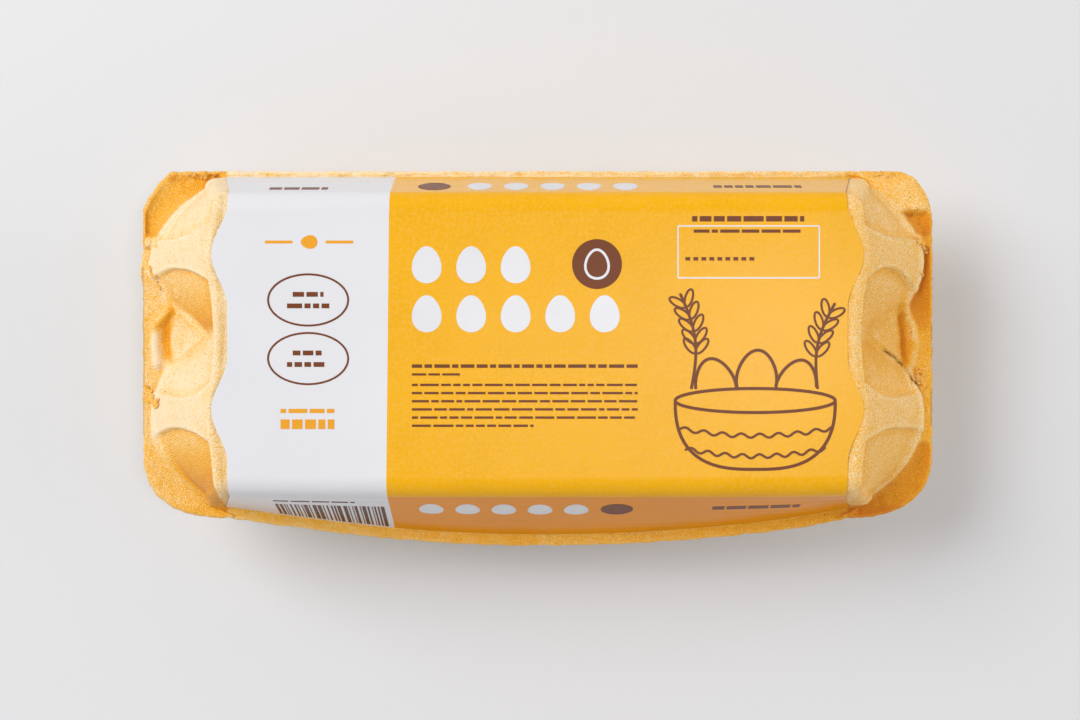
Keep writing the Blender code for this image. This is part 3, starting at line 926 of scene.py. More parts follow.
def lid_bead(places, bead_height):
    """Height of the bead along the lid's shoulders and of the dip beside it."""
    x, y, z = places.T
    reach, at_left = np.abs(x), x < 0
    lobes = np.clip(sum(hump(y, row, 10 * MM) for row in NOSE_ROWS), 0, 1)
    shift = LABEL_WAVE * 0.55 * lobes
    bead_line = np.where(at_left, BEAD_REACH["left"], BEAD_REACH["right"]) + shift
    dip_line = np.where(at_left, BEAD_DIP["left"], BEAD_DIP["right"]) + shift
    rise = bead_height * hump(reach, bead_line, BEAD_WIDTH)
    rise -= BEAD_DIP_DEPTH * hump(reach, dip_line, 1.0 * MM)
    return rise * smooth_step((z - TOP + 4 * MM) / (2 * MM)) * (1 - 0.6 * lobes)


def make_lid():
    shape = bpy.context.scene.carton_shape
    rings = lid_rings(shape.leaf_depth)
    mesh = ring_mesh("lid_shell", rings)
    face_outward(mesh)
    places = vertex_array(mesh)
    reach = np.abs(places[:, 0])
    places[:, 2] += lid_bead(places, shape.bead_height) + end_relief(places)
    x, y, z = places.T
    bump = hump(y, NOSE_BUMP["y"], 3.2 * MM) * hump(z, NOSE_BUMP["z"], 3 * MM)
    places[:, 0] -= NOSE_BUMP["height"] * bump * (x < NOSE_BUMP["start"])
    normals = normal_array(mesh)
    coarse = noise_values(places, 7 * MM, 3, 3.1)
    fine = noise_values(places, 1.3 * MM, 2, 8.7)
    ragged = noise_values(places, 2.6 * MM, 3, 5.5)
    edge = (z < RIM_TOP + 0.2 * MM) & (z > RIM_UNDERSIDE - 30 * MM)
    amount = shape.pulp_relief * (coarse + 0.7 * fine) + np.where(edge, RIM_ROUGHNESS * ragged, 0.0)
    covered = (reach < LABEL_EDGE - 2 * MM) & (z > FOOT_HEIGHT + 2 * MM)
    amount = np.where(covered, np.minimum(amount, 0.0), amount)
    places += normals * amount[:, None]
    back_rim = (y > RIM_BACK - 2.6 * MM) & (normals[:, 2] > 0.3)
    places[:, 2] += np.where(back_rim, BACK_RIM_ROUGHNESS * ragged, 0.0)
    set_vertices(mesh, keep_in_box(places))
    mesh.shade_smooth()
    # Painted highlight and shade: ridges turn paler and creases deeper orange in the pulp's colour
    out = convexity(places, normal_array(mesh), len(rings))
    on_wall = 0.3 + 0.7 * smooth_step((z - FOOT_HEIGHT) / (1.5 * MM))
    on_wall *= np.abs(x) > BEAD_DIP["left"] - 1.0 * MM
    store_values(mesh, "ridge", np.clip(out / CREASE_DEPTH, -0.5, 1) * on_wall)
    lid = add_object("lid_shell", mesh, [pulp_material("lid_pulp")])
    finish_piece(lid, "lid_pulp", "carton_lid")


class EGGCARTON_OT_lid(bpy.types.Operator):
    """Model the pulp lid, with its noses, leaf-shaped hollows, flange and rim"""
    bl_idname = "egg_carton.lid"
    bl_label = "Lid"

    def execute(self, context):
        make_lid()
        return {'FINISHED'}


# The tray
CUP_PITCH = 48.6 * MM
CUPS_IN_ROW = 5
CUP_ROWS = (31.0 * MM, -17.5 * MM)
TRAY_RIM_THICKNESS = 2.2 * MM
SKIRT_INSET = 5.0 * MM
SKIRT_TAPER = 3.0 * MM
SKIRT_HEIGHT = 9.5 * MM
CUP_PROFILE = (
    (0.0, 38.0 * MM),
    (26.0 * MM, 38.0 * MM),
    (25.0 * MM, 27.0 * MM),
    (22.4 * MM, 14.0 * MM),
    (18.8 * MM, 4.4 * MM),
    (17.0 * MM, 1.2 * MM),
    (14.6 * MM, 0.0),
    (0.0, 0.0),
)
CUP_SIDES = 64
TRAY_VOXEL = 1.3 * MM


def cup_mesh():
    """One egg cup: its profile, smoothed, turned round its axis."""
    corners = np.array(CUP_PROFILE[1:-1])
    along = path_fractions(corners)
    share = np.linspace(0, 1, 26)
    radius = np.interp(share, along, corners[:, 0])
    height = np.interp(share, along, corners[:, 1])
    angle = np.linspace(0, 2 * math.pi, CUP_SIDES, endpoint=False)
    rings = np.stack([np.column_stack([r * np.cos(angle), r * np.sin(angle), np.full(CUP_SIDES, z)])
                      for r, z in zip(radius, height)])
    mesh = ring_mesh("cup", rings)
    face_outward(mesh)
    return mesh


def tray_rings():
    """Rings of the tray's rim and of the skirt under it, from the top down."""
    fractions = [np.linspace(0, 1, 2 * END_POINTS // 3)[1:-1]] * 2
    rings = []
    for inset, down in ((0.8 * MM, 0.0), (0.0, 0.8 * MM), (0.0, TRAY_RIM_THICKNESS - 0.6 * MM),
                        (0.8 * MM, TRAY_RIM_THICKNESS), (SKIRT_INSET, TRAY_RIM_THICKNESS + 0.6 * MM),
                        (SKIRT_INSET + SKIRT_TAPER, SKIRT_HEIGHT)):
        flat = rim_ring(fractions, TRAY_HALF_LENGTH - inset, RIM_BACK - inset, TRAY_FRONT - inset,
                        lambda x: 0 * x)
        rings.append(np.column_stack([flat, np.full(len(flat), TRAY_TOP - down)]))
    return np.stack(rings)


def apply_modifier(item, name):
    bpy.context.view_layer.objects.active = item
    with bpy.context.temp_override(object=item, active_object=item):
        bpy.ops.object.modifier_apply(modifier=name)


def thicken(item, thickness):
    """Gives a sheet its thickness, inwards, and keeps its edges crisp."""
    skin = item.modifiers.new("thickness", 'SOLIDIFY')
    skin.thickness = thickness
    skin.offset = -1.0
    apply_modifier(item, skin.name)
    item.data.shade_smooth()
    item.data.set_sharp_from_angle(angle=math.radians(50))


def make_tray():
    mesh = ring_mesh("tray_shell", tray_rings())
    face_outward(mesh)
    tray = add_object("tray_shell", mesh, [pulp_material("tray_pulp")])
    work = bmesh.new()
    work.from_mesh(mesh)
    shape = cup_mesh()
    for column in range(CUPS_IN_ROW):
        for y in CUP_ROWS:
            before = len(work.verts)
            work.from_mesh(shape)
            work.verts.ensure_lookup_table()
            place = Vector(((column - (CUPS_IN_ROW - 1) / 2) * CUP_PITCH, y, 0.0))
            bmesh.ops.translate(work, vec=place, verts=work.verts[before:])
    work.to_mesh(mesh)
    work.free()
    remesh = tray.modifiers.new("one_skin", 'REMESH')
    remesh.mode = 'VOXEL'
    remesh.voxel_size = TRAY_VOXEL
    apply_modifier(tray, remesh.name)
    soften = tray.modifiers.new("soften", 'SMOOTH')
    soften.factor = 0.5
    soften.iterations = 3
    apply_modifier(tray, soften.name)
    mesh = tray.data
    places, normals = vertex_array(mesh), normal_array(mesh)
    relief = bpy.context.scene.carton_shape.pulp_relief
    amount = relief * (noise_values(places, 8 * MM, 3, 1.3) + 0.5 * noise_values(places, 2 * MM, 2, 6.1))
    edge = places[:, 2] > TRAY_TOP - 3 * MM
    amount = np.where(edge & (normals[:, 2] > 0.5), np.minimum(amount, 0.0), amount)
    places += normals * amount[:, None]
    places[:, 2] = np.minimum(places[:, 2], TRAY_TOP)
    set_vertices(mesh, keep_in_box(places))
    mesh.shade_smooth()
    finish_piece(tray, "tray_pulp", "carton_tray")
    return tray


class EGGCARTON_OT_tray(bpy.types.Operator):
    """Model the pulp tray, its rim and its ten cups, as one skin"""
    bl_idname = "egg_carton.tray"
    bl_label = "Tray"

    def execute(self, context):
        make_tray()
        return {'FINISHED'}


def flake(draw, tree, x, y, size):
    """Points and faces of one torn, curled bit of pulp that lies on the surface below it."""
    heading = draw.uniform(0, 2 * math.pi)
    length, width = size * draw.uniform(0.8, 1.5), size * draw.uniform(0.4, 0.8)
    curl, twist = size * draw.uniform(0.1, 0.32), draw.uniform(-0.3, 0.3)
    points, rows, columns = [], 6, 4
    for row in range(rows):
        along = row / (rows - 1)
        reach = width * (0.5 + 0.5 * math.sin(math.pi * (0.15 + 0.75 * along))) * draw.uniform(0.75, 1.1)
        for column in range(columns):
            across = (column / (columns - 1) - 0.5) * reach
            ahead = (along - 0.3) * length + draw.uniform(-0.06, 0.06) * size
            flat_x = x + ahead * math.cos(heading) - across * math.sin(heading)
            flat_y = y + ahead * math.sin(heading) + across * math.cos(heading)
            below = tree.ray_cast(Vector((flat_x, flat_y, TOP + 5 * MM)), Vector((0, 0, -1)))[0]
            ground = below.z if below is not None else RIM_TOP - 0.5 * MM
            lift = curl * along ** 2 + twist * across * along
            points.append((flat_x, flat_y, ground + 0.2 * MM + lift))
    return points, quad_grid(rows, columns, flipped=True)


class EGGCARTON_OT_tears(bpy.types.Operator):
    """Add the torn bits of pulp that stick to the rim and to the noses"""
    bl_idname = "egg_carton.tears"
    bl_label = "Torn bits"

    def execute(self, context):
        tree = BVHTree.FromObject(bpy.data.objects["lid_shell"], context.evaluated_depsgraph_get())
        draw = random.Random(11)
        points, faces = [], []
        for first, last, count, size, spread in TEARS:
            for _ in range(count):
                share = draw.random()
                x = first[0] + (last[0] - first[0]) * share + draw.uniform(-spread, spread)
                y = first[1] + (last[1] - first[1]) * share + draw.uniform(-spread, spread)
                more, quads = flake(draw, tree, x * MM, y * MM, size * MM)
                faces += [[len(points) + corner for corner in quad] for quad in quads]
                points += more
        mesh = new_mesh("torn_pulp", points, faces)
        torn = add_object("torn_pulp", mesh, [pulp_material("torn_pulp")])
        thicken(torn, 0.25 * MM)
        set_vertices(torn.data, keep_in_box(vertex_array(torn.data)))
        store_values(torn.data, "fold_shade_and_dye", np.full(len(torn.data.vertices), 0.46))
        finish_piece(torn, "lid_pulp")
        return {'FINISHED'}


class EGGCARTON_OT_folds(bpy.types.Operator):
    """Store painted shade for the pulp's colour: how deep each place of the pulp lies in its folds, with
    its dye and the painted light and shade of each kind of place
    """
    bl_idname = "egg_carton.folds"
    bl_label = "Folds"

    def execute(self, context):
        depsgraph = context.evaluated_depsgraph_get()
        shells = [bpy.data.objects["lid_shell"], bpy.data.objects["tray_shell"]]
        trees = [BVHTree.FromObject(shell, depsgraph) for shell in shells]
        for shell in shells:
            rays = 20
            places = vertex_array(shell.data)
            x, y, z = places.T
            dye_and_shade = dye_and_shade_share(places) if shell.name == "lid_shell" else dye_and_rightward_shade(x)
            # The colour adds each place's occlusion, as painted shade in its folds, to its dye and its
            # painted light and shade; the tray takes its dye with painted shade growing towards the
            # right
            store_values(shell.data, "fold_shade_and_dye", occlusion(shell.data, trees, 14 * MM, rays) + dye_and_shade)
            # Painted shade in cracks, and half as much in the gaps between the lid's rim and the tray's
            cracks = sum(path_nearness(x, y, path, CRACK_WIDTH) for path in CRACKS)
            cracks += 0.5 * sum(path_nearness(x, y, path, CRACK_WIDTH) for path in RIM_GAPS)
            store_values(shell.data, "crack_and_gap_shade", np.clip(cracks, 0, 1) * (z > RIM_UNDERSIDE + 0.6 * MM))
            weave = leaf_hollow(y, np.abs(x), z, x < 0) * (np.abs(x) > SHOULDER) * (z > FOOT_HEIGHT)
            store_values(shell.data, "weave", weave * np.where(y < nose_row(y), 1.0, 0.25))
        return {'FINISHED'}


def label_reach(y, amount_down):
    """Half length of the label at y on its top, or at a fraction of the way down a wall."""
    wave = 0.0 * y
    for row in LABEL_WAVE_ROWS:
        away = np.clip(np.abs(y - row) / LABEL_WAVE_HALF_WIDTH, 0, 1)
        wave = wave + 0.5 + 0.5 * np.cos(math.pi * away)
    return LABEL_EDGE + LABEL_WAVE * wave * (1 - amount_down) + LABEL_FLARE * amount_down


def label_limits(x, at_front):
    """Distances round the label from its frame line: start and end of its turned edge, and its foot."""
    _, _, turn, tangent, length = wall_shape(*long_wall(x, at_front), LONG_EDGE_RADIUS)
    flat = (EDGE_FRONT if at_front else EDGE_BACK) - tangent
    turned = flat + LONG_EDGE_RADIUS * turn
    return flat, turned, turned + length - tangent


def paper_lift(x, around, down):
    """Small waves of the paper over its plain surface, long on the top and ripples on the walls."""
    wave = bpy.context.scene.carton_shape.paper_wave
    broad = np.sin(x / (23 * MM) + 1.3 * np.sin(around / (17 * MM))) * np.cos(around / (31 * MM) + 0.6)
    bend = 1.6 * np.sin(x / (31 * MM)) + 2.2 * np.sin(around / (3.1 * MM))
    ripple = np.sin(around / (0.62 * MM) + bend)
    ripple *= 0.5 + 0.5 * np.sin(x / (19 * MM) + around / (2.3 * MM))
    return wave * (broad * (1 - 0.7 * down) + 0.55 * ripple * down)


def on_label(x, around, lift=0.0):
    """Point of the label's outside: x along the carton, around it from Y = 0, + to the back."""
    x, around = np.broadcast_arrays(np.asarray(x, float), np.asarray(around, float))
    places = np.zeros(x.shape + (3,))
    for at_front in (False, True):
        side = around < 0 if at_front else around >= 0
        sx, distance = x[side], np.abs(around[side])
        edge, foot, foot_height = long_wall(sx, at_front)
        out, up, turn, tangent, _ = wall_shape(edge, foot, foot_height, LONG_EDGE_RADIUS)
        flat = edge - tangent
        angle = np.clip((distance - flat) / LONG_EDGE_RADIUS, 0, turn)
        on_wall = np.clip(distance - flat - LONG_EDGE_RADIUS * turn, 0, None)
        offset = LABEL_OUTSIDE + lift + paper_lift(sx, around[side], angle / turn)
        radius = LONG_EDGE_RADIUS + offset
        reach = np.minimum(distance, flat) + radius * np.sin(angle) + on_wall * up
        height = TOP - LONG_EDGE_RADIUS + radius * np.cos(angle) - on_wall * out
        places[side] = np.stack([sx, -reach if at_front else reach, height], axis=-1)
    return places


def label_rows():
    """How far round the label each row lies, as (at_front, part, share) steps from back to front."""
    rows = [(False, 'wall', share) for share in np.linspace(0.985, 0, 40)]
    rows += [(False, 'turn', share) for share in np.linspace(1, 0, 9)[1:]]
    rows += [(False, 'top', share) for share in np.linspace(0, 1, 92)[1:-1]]
    rows += [(True, 'turn', share) for share in np.linspace(0, 1, 9)]
    rows += [(True, 'wall', share) for share in np.linspace(0, 0.985, 56)[1:]]
    return rows


def label_row(at_front, part, share, columns):
    """Places along one row of the label; columns run from -1 to 0 on white and 0 to 1 on yellow."""
    flat_back, flat_front = (label_limits(np.float64(0), front)[0] for front in (False, True))
    edge = -EDGE_FRONT if at_front else EDGE_BACK
    y = flat_back + (-flat_front - flat_back) * share if part == 'top' else edge
    reach = label_reach(np.float64(y), share if part == 'wall' else 0.0)
    field = WHITE_FIELD_EDGE - WHITE_FIELD_SLANT * (EDGE_BACK - y)
    x = np.where(columns < 0, field + (reach + field) * columns, field + (reach - field) * columns)
    if part == 'top':
        edge_back, edge_front = (label_limits(x, front)[0] for front in (False, True))
        return on_label(x, edge_back + (-edge_front - edge_back) * share)
    flat, turned, foot = label_limits(x, at_front)
    distance = flat + (turned - flat) * share if part == 'turn' else turned + (foot - turned) * share
    return on_label(x, -distance if at_front else distance)


def make_label():
    colours = bpy.context.scene.carton_colours
    columns = np.concatenate([np.linspace(-1, 0, 24), np.linspace(0, 1, 62)[1:]])
    rows = np.stack([label_row(*row, columns) for row in label_rows()])
    levels, count, _ = rows.shape
    mesh = new_mesh("label_sheet", rows.reshape(-1, 3).tolist(), quad_grid(levels, count))
    white = paper_material("paper_white", tuple(colours.paper), 0.24, 0.02)
    yellow = paper_material("paper_yellow", tuple(colours.yellow), 0.22, 0.05, 0.12, 0.03)
    # A copy of the yellow paper for the front wall, deeper as painted shade
    front = paper_material("paper_front_shaded", tuple(colours.yellow_front_shaded), 0.22, 0.05, 0.10, 0.0)
    back = paper_material("paper_back", tuple(colours.yellow), 0.22, 0.05, 0.45, 0.04)
    label = add_object("label_sheet", mesh, [white, yellow, front, back])
    # Material 2 is the front wall's painted shade copy of the yellow
    on_wall = [(3, 2)[at_front] if part == 'wall' else 1 for at_front, part, _ in label_rows()]
    field = np.array(on_wall[1:])[:, None] * (columns[:-1] >= 0)
    mesh.polygons.foreach_set("material_index", field.ravel().astype(np.int32))
    thicken(label, PAPER_THICKNESS)
    finish_piece(label, "label_paper", "label")
    return label


class EGGCARTON_OT_label(bpy.types.Operator):
    """Model the paper label, with its white and yellow fields, wavy ends and rippled sides"""
    bl_idname = "egg_carton.label"
    bl_label = "Label"

    def execute(self, context):
        make_label()
        return {'FINISHED'}


class Print:
    """Flat shapes of one ink, gathered in label places and laid on the paper as one mesh."""

    def __init__(self, layer):
        self.layer = layer
        self.points = []
        self.faces = []
        self.shapes = 0

    def add(self, flat, faces):
        start = len(self.points)
        lift = INK_LIFT * (self.layer + 0.05 * (self.shapes % 12))
        self.points += [(x, around, lift) for x, around in flat]
        self.faces += [tuple(start + corner for corner in face) for face in faces]
        self.shapes += 1

    def band(self, middle, widths, closed=False):
        """A line of varying width along a flat path."""
        middle = np.asarray(middle, float)
        if closed:
            ahead = np.roll(middle, -1, axis=0) - np.roll(middle, 1, axis=0)
        else:
            ahead = np.gradient(middle, axis=0)
        ahead /= np.hypot(ahead[:, 0], ahead[:, 1])[:, None]
        side = np.stack([-ahead[:, 1], ahead[:, 0]], axis=1) * (np.asarray(widths) / 2)[:, None]
        flat = np.concatenate([middle + side, middle - side])
        self.add(flat.tolist(), quad_grid(2, len(middle), closed))

    def line(self, path, width, closed=False):
        """A pen line with round ends along a path that is sampled closely first."""
        path = np.asarray(path, float)
        if closed:
            self.band(path, np.full(len(path), width), True)
            return
        along = path_fractions(path)
        length = np.hypot(*np.diff(path, axis=0).T).sum()
        count = max(6, int(length / (0.9 * MM)))
        end = width / 2 / length
        share = np.concatenate([np.linspace(0, end, 4)[:-1], np.linspace(end, 1 - end, count),
                                np.linspace(1 - end, 1, 4)[1:]])
        middle = np.stack([np.interp(share, along, part) for part in path.T], axis=1)
        from_end = np.minimum(share, 1 - share) * length
        inside = np.clip(1 - from_end / (width / 2), 0, 1)
        self.band(middle, width * np.sqrt(np.clip(1 - inside ** 2, 0.02, 1)))

    def disc(self, outline):
        """A filled round shape from its outline and its middle."""
        outline = np.asarray(outline, float)
        middle = outline.mean(axis=0)
        count = len(outline)
        flat = np.concatenate([middle + (outline - middle) * share for share in (1.0, 0.66, 0.33)])
        faces = quad_grid(3, count, closed=True, flipped=True)
        faces.append(list(range(2 * count, 3 * count)))
        self.add(flat.tolist(), faces)

    def bar(self, x, around, width, height):
        """A filled rectangle, divided so that it follows the paper."""
        across = max(2, int(width / (3 * MM)) + 2)
        tall = max(2, int(height / (1.5 * MM)) + 2)
        xs, ys = np.linspace(x, x + width, across), np.linspace(around, around + height, tall)
        self.add([(one, two) for two in ys for one in xs], quad_grid(tall, across, flipped=True))

    def lay(self, name, material):
        """Makes the mesh: every point on the paper, with a little thickness into it."""
        mesh = new_mesh(name, [on_label(*point).tolist() for point in self.points], self.faces)
        face_up(mesh)
        item = add_object(name, mesh, [material])
        thicken(item, 1.6 * INK_LIFT)
        finish_piece(item, "label_paper")
        return item


def face_up(mesh):
    """Turns every face so that it looks away from the carton's middle."""
    work = bmesh.new()
    work.from_mesh(mesh)
    for face in work.faces:
        away = face.calc_center_median() - Vector((0, 0, TOP / 3))
        away.x = 0
        if face.normal.dot(away) < 0:
            face.normal_flip()
    work.to_mesh(mesh)
    work.free()


def egg_outline(x, around, width, height, tilt=0.0, count=40):
    """Outline of an egg standing on its blunt end."""
    angle = np.linspace(0, 2 * math.pi, count, endpoint=False)
    up = np.sin(angle)
    across = np.cos(angle) * (1 - 0.16 * up) * width / 2
    up = up * height / 2
    turn = math.radians(tilt)
    return np.stack([x + across * math.cos(turn) - up * math.sin(turn),
                     around + across * math.sin(turn) + up * math.cos(turn)], axis=1)


def oval_outline(x, around, width, height, count=64):
    angle = np.linspace(0, 2 * math.pi, count, endpoint=False)
    return np.stack([x + np.cos(angle) * width / 2, around + np.sin(angle) * height / 2], axis=1)


def dashes(ink, draw, x, around, length, height):
    """A line of small bars of uneven length, where the pack has fine print."""
    end = x + length
    while x < end - 0.8 * MM:
        width = min(draw.uniform(1.6, 6.5) * MM, end - x)
        ink.bar(x, around, width, height)
        x += width + 0.75 * MM


def wheat(ink, foot, tip, bend, leaves):
    """A sprig: a curved stem with pairs of slim grains."""
    foot, tip = np.array(foot), np.array(tip)
    share = np.linspace(0, 1, 40)[:, None]
    side = np.array([-(tip - foot)[1], (tip - foot)[0]])
    stem = foot + (tip - foot) * share + side * bend * np.sin(share * math.pi)
    ink.line(stem, 0.9 * MM)
    for number in range(leaves):
        at = int(14 + 24 * number / leaves)
        ahead = stem[min(at + 1, 39)] - stem[at - 1]
        heading = math.degrees(math.atan2(ahead[1], ahead[0]))
        for turn in (-38, 38):
            angle = math.radians(heading + turn)
            middle = stem[at] + 3.1 * MM * np.array([math.cos(angle), math.sin(angle)])
            outline = oval_outline(0.0, 0.0, 5.6 * MM, 2.3 * MM, 28)
            spin = np.array([[math.cos(angle), math.sin(angle)], [-math.sin(angle), math.cos(angle)]])
            ink.line(middle + outline @ spin, 0.7 * MM, True)


def basket(ink, x, around):
    """A low round basket of eggs in pen lines."""
    pen, half_width, depth, rim = 1.0 * MM, 25 * MM, 21.5, 3.3 * MM
    for dx, dy, tilt in ((-12.5, 5.0, 14), (0.5, 7.5, -4), (13.0, 4.6, -16)):
        egg = egg_outline(x + dx * MM, around + dy * MM, 12.5 * MM, 16.5 * MM, tilt, 48)
        above = egg[egg[:, 1] > around + rim]
        turn = np.arctan2(above[:, 1] - around - rim, above[:, 0] - x - dx * MM)
        ink.line(above[np.argsort(turn)], pen)
    ink.line(oval_outline(x, around, 2 * half_width, 7.5 * MM), pen, True)
    angle = np.linspace(math.pi, 2 * math.pi, 50)
    side, down = np.cos(angle), np.sin(angle)
    bowl = np.stack([x + half_width * np.sign(side) * np.abs(side) ** 0.7,
                     around + depth * MM * np.sign(down) * np.abs(down) ** 0.8], axis=1)
    ink.line(bowl, pen)
    along = np.linspace(-1, 1, 60)
    for drop in (15.0, 8.6):
        reach = half_width * math.sqrt(1 - ((drop - 4) / depth) ** 2.6)
        row = around - drop * MM - 2.4 * MM * (1 - along ** 2) + 0.7 * MM * np.sin(along * 26)
        ink.line(np.stack([x + reach * along * 0.97, row], axis=1), 0.8 * MM)


def print_top(inks, draw):
    """Shapes on the label's top, in place of words and marks."""
    for count, around in ((5, 14.6), (3, 29.9)):
        for number in range(count):
            middle = (-34.6 + 13.9 * number) * MM
            inks["white"].disc(egg_outline(middle, around * MM, 9.2 * MM, 11.6 * MM))
    inks["brown"].disc(oval_outline(18.6 * MM, 30.1 * MM, 15.6 * MM, 15.6 * MM))
    inks["cream"].line(egg_outline(18.6 * MM, 30.1 * MM, 7.2 * MM, 9.0 * MM), 0.8 * MM, True)
    for around, height, length in ((-2.3, 1.1, 70.5), (-4.7, 0.7, 15.0)):
        dashes(inks["brown"], draw, -39.2 * MM, around * MM, length * MM, height * MM)
    for number in range(6):
        length = 70.5 if number < 5 else 38.0
        dashes(inks["brown"], draw, -39.2 * MM, (-8.0 - 2.55 * number) * MM, length * MM, 0.75 * MM)
    dashes(inks["brown"], draw, 48.3 * MM, 43.4 * MM, 35.0 * MM, 1.7 * MM)
    frame_path = [(43.9, 25.8), (88.0, 25.8), (88.0, 42.0), (43.9, 42.0)]
    for first, second in zip(frame_path, frame_path[1:] + frame_path[:1]):
        inks["white"].line(np.array([first, second]) * MM, 0.42 * MM)
    dashes(inks["brown"], draw, 48.8 * MM, 39.9 * MM, 34.5 * MM, 1.0 * MM)
    for number in range(9):
        inks["brown"].bar((46.2 + 2.5 * number) * MM, 31.2 * MM, 1.5 * MM, 1.1 * MM)

    inks["orange"].line([(-85.2 * MM, 37.0 * MM), (-76.4 * MM, 37.0 * MM)], 0.9 * MM)
    inks["orange"].line([(-66.2 * MM, 37.0 * MM), (-57.4 * MM, 37.0 * MM)], 0.9 * MM)
    inks["orange"].disc(egg_outline(-71.3 * MM, 37.0 * MM, 4.2 * MM, 5.2 * MM, 90))
    for around in (18.9, 0.6):
        inks["brown"].line(oval_outline(-71.6 * MM, around * MM, 25.0 * MM, 16.0 * MM), 0.62 * MM, True)
        dashes(inks["brown"], draw, -76.4 * MM, (around + 1.0) * MM, 9.6 * MM, 1.5 * MM)
        dashes(inks["brown"], draw, -78.2 * MM, (around - 2.6) * MM, 13.2 * MM, 1.5 * MM)
    dashes(inks["orange"], draw, -80.2 * MM, -16.4 * MM, 16.8 * MM, 1.3 * MM)
    dashes(inks["orange"], draw, -80.2 * MM, -21.4 * MM, 16.8 * MM, 3.0 * MM)

    basket(inks["brown"], 68.0 * MM, -12.5 * MM)
    wheat(inks["brown"], (48.0 * MM, -9.0 * MM), (44.5 * MM, 21.0 * MM), -0.10, 5)
    wheat(inks["brown"], (87.5 * MM, -9.0 * MM), (93.0 * MM, 18.0 * MM), 0.10, 4)


def print_sides(inks, draw):
    """Shapes on the label's two long walls."""
    x = -84.0 * MM
    while x < -50.0 * MM:
        width = draw.choice((0.35, 0.35, 0.6, 0.9, 1.2)) * MM
        foot = label_limits(np.float64(x), True)[2] - 1.6 * MM
        inks["dark"].bar(x, -foot, width, foot - 54.5 * MM)
        x += width + draw.choice((0.4, 0.5, 0.8)) * MM
    for number in range(5):
        egg = egg_outline((-34.0 + 11.6 * number) * MM, -56.0 * MM, 7.8 * MM, 9.8 * MM)
        inks["white"].disc(egg)
        egg = egg_outline((28.0 - 11.6 * number) * MM, 62.0 * MM, 7.8 * MM, 9.8 * MM, 180)
        inks["white"].disc(egg)
    inks["brown"].disc(oval_outline(25.4 * MM, -56.0 * MM, 10.4 * MM, 10.4 * MM))
    inks["brown"].disc(oval_outline(-32.8 * MM, 62.0 * MM, 10.4 * MM, 10.4 * MM))
    dashes(inks["brown"], draw, 56.0 * MM, -57.6 * MM, 28.0 * MM, 3.4 * MM)
    dashes(inks["brown"], draw, 56.0 * MM, 60.4 * MM, 28.0 * MM, 3.4 * MM)
    dashes(inks["brown"], draw, -84.9 * MM, 57.6 * MM, 18.5 * MM, 3.2 * MM)
    dashes(inks["dark"], draw, -84.0 * MM, -50.8 * MM, 26.0 * MM, 1.2 * MM)


class EGGCARTON_OT_print(bpy.types.Operator):
    """Lay the inks on the label: eggs, ovals, a basket, sprigs, bars and small dashes"""
    bl_idname = "egg_carton.print"
    bl_label = "Print"

    def execute(self, context):
        colours = context.scene.carton_colours
        layers = {"white": 1, "brown": 1, "orange": 1, "dark": 1, "cream": 2}
        inks = {name: Print(layer) for name, layer in layers.items()}
        draw = random.Random(7)
        print_top(inks, draw)
        print_sides(inks, draw)
        tints = {"white": colours.paper, "cream": colours.paper, "brown": colours.brown,
                 "orange": colours.orange, "dark": [0.6 * part for part in colours.brown]}
        for name, ink in inks.items():
            gloss = 0.08 if name in ("brown", "dark", "orange") else 0.3
            material = paper_material("ink_" + name, tuple(tints[name]), 0.26, 0.04, gloss)
            ink.lay("print_" + name, material)
        return {'FINISHED'}


class EGGCARTON_OT_camera(bpy.types.Operator):
    """Add the camera, straight above the carton"""
    bl_idname = "egg_carton.camera"
    bl_label = "Camera"

    def execute(self, context):
        data = bpy.data.cameras.new("view_from_above")
        data.lens = CAMERA_LENS
        data.sensor_width = 36.0
        data.clip_start = 0.05
        data.clip_end = 20.0
        camera = bpy.data.objects.new("view_from_above", data)
        camera.location = CAMERA_PLACE
        context.scene.collection.objects.link(camera)
        context.scene.camera = camera
        return {'FINISHED'}


# Lights: name, place, target, size and power
LIGHTS = (
    ("key", (-1.2, 0.72, 1.6), (0, 0, 0.03), (1.2, 1.2), 31.5),
    ("fill", (1.8, 0.05, 0.55), (0, 0, 0.05), (1.2, 0.5), 9.8),
    ("overhead", (0.12, -0.02, 1.47), (0.12, -0.02, 0.0), (0.46, 0.24), 2.3),
    ("gleam", (0.26, 0.03, 1.47), (0.26, 0.03, 0.0), (0.17, 0.11), 1.3),
)
SKY_RANGE = {"From Min": 0.2, "From Max": 0.95, "To Min": SKY_LOW, "To Max": SKY_HIGH}


def area_light(name, place, target, size, power):
    data = bpy.data.lights.new(name, 'AREA')
    data.shape = 'RECTANGLE'
    data.size, data.size_y = size
    data.energy = power
    light = bpy.data.objects.new(name, data)
    light.location = place
    light.rotation_euler = (Vector(target) - Vector(place)).to_track_quat('-Z', 'Y').to_euler()
    bpy.context.scene.collection.objects.link(light)


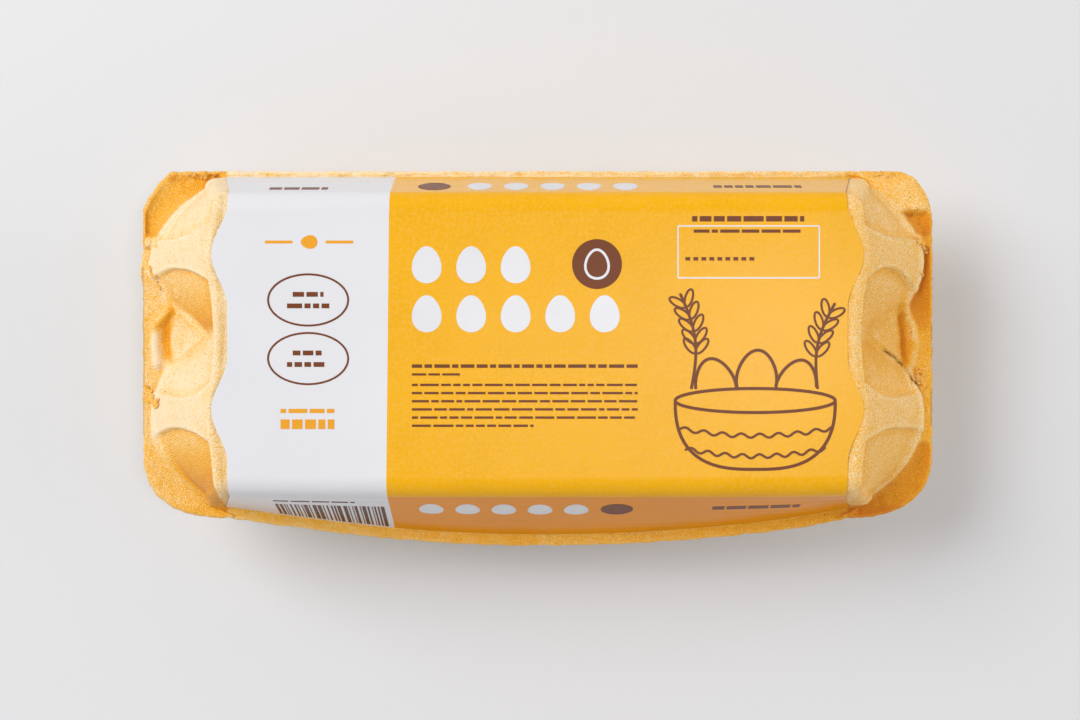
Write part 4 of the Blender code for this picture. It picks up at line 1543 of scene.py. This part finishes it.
class EGGCARTON_OT_stage(bpy.types.Operator):
    """Add the plain floor, the studio lights and the sky fill"""
    bl_idname = "egg_carton.stage"
    bl_label = "Stage"

    def execute(self, context):
        colours = context.scene.carton_colours
        work = bmesh.new()
        bmesh.ops.create_grid(work, x_segments=1, y_segments=1, size=3.0)
        mesh = bpy.data.meshes.new("floor")
        work.to_mesh(mesh)
        work.free()
        nodes = Nodes("floor")
        nodes.shader.inputs["Base Color"].default_value = colour(colours.floor)
        nodes.shader.inputs["Roughness"].default_value = 0.7
        floor = add_object("floor", mesh, [nodes.material])
        floor.location.z = -FLOOR_GAP
        for light in LIGHTS:
            area_light(*light)
        world = bpy.data.worlds.new("studio")
        world.use_nodes = True
        tree = world.node_tree
        sky = tree.nodes["Background"]
        sky.inputs["Color"].default_value = (0.965, 0.98, 1.0, 1.0)
        place = tree.nodes.new("ShaderNodeTexCoord")
        parts = tree.nodes.new("ShaderNodeSeparateXYZ")
        range_node = tree.nodes.new("ShaderNodeMapRange")
        tree.links.new(place.outputs["Generated"], parts.inputs[0])
        tree.links.new(parts.outputs["Z"], range_node.inputs["Value"])
        tree.links.new(range_node.outputs[0], sky.inputs["Strength"])
        for name, value in SKY_RANGE.items():
            range_node.inputs[name].default_value = value
        context.scene.world = world
        context.scene.view_settings.view_transform = 'Standard'
        return {'FINISHED'}


class EGGCARTON_PT_parts(bpy.types.Panel):
    """Lists the carton's pieces, sizes and colours"""
    bl_idname = "EGGCARTON_PT_parts"
    bl_label = "Egg carton"
    bl_space_type = 'VIEW_3D'
    bl_region_type = 'UI'
    bl_category = "Egg carton"

    def draw(self, context):
        for operator in OPERATORS:
            self.layout.operator(operator.bl_idname)
        for group in (context.scene.carton_shape, context.scene.carton_colours):
            for name in group.__annotations__:
                self.layout.prop(group, name)


OPERATORS = (EGGCARTON_OT_camera, EGGCARTON_OT_stage, EGGCARTON_OT_lid, EGGCARTON_OT_tray,
             EGGCARTON_OT_tears, EGGCARTON_OT_folds, EGGCARTON_OT_label, EGGCARTON_OT_print)
CLASSES = (CartonShape, CartonColours, EGGCARTON_PT_parts) + OPERATORS


def register():
    for one in CLASSES:
        bpy.utils.register_class(one)
    bpy.types.Scene.carton_shape = PointerProperty(type=CartonShape)
    bpy.types.Scene.carton_colours = PointerProperty(type=CartonColours)


def unregister():
    del bpy.types.Scene.carton_shape
    del bpy.types.Scene.carton_colours
    for one in reversed(CLASSES):
        bpy.utils.unregister_class(one)


def main():
    register()
    bpy.ops.egg_carton.camera()
    bpy.ops.egg_carton.stage()
    bpy.ops.egg_carton.lid()
    bpy.ops.egg_carton.tray()
    bpy.ops.egg_carton.tears()
    bpy.ops.egg_carton.folds()
    bpy.ops.egg_carton.label()
    bpy.ops.egg_carton.print()


if __name__ == "__main__":
    main()
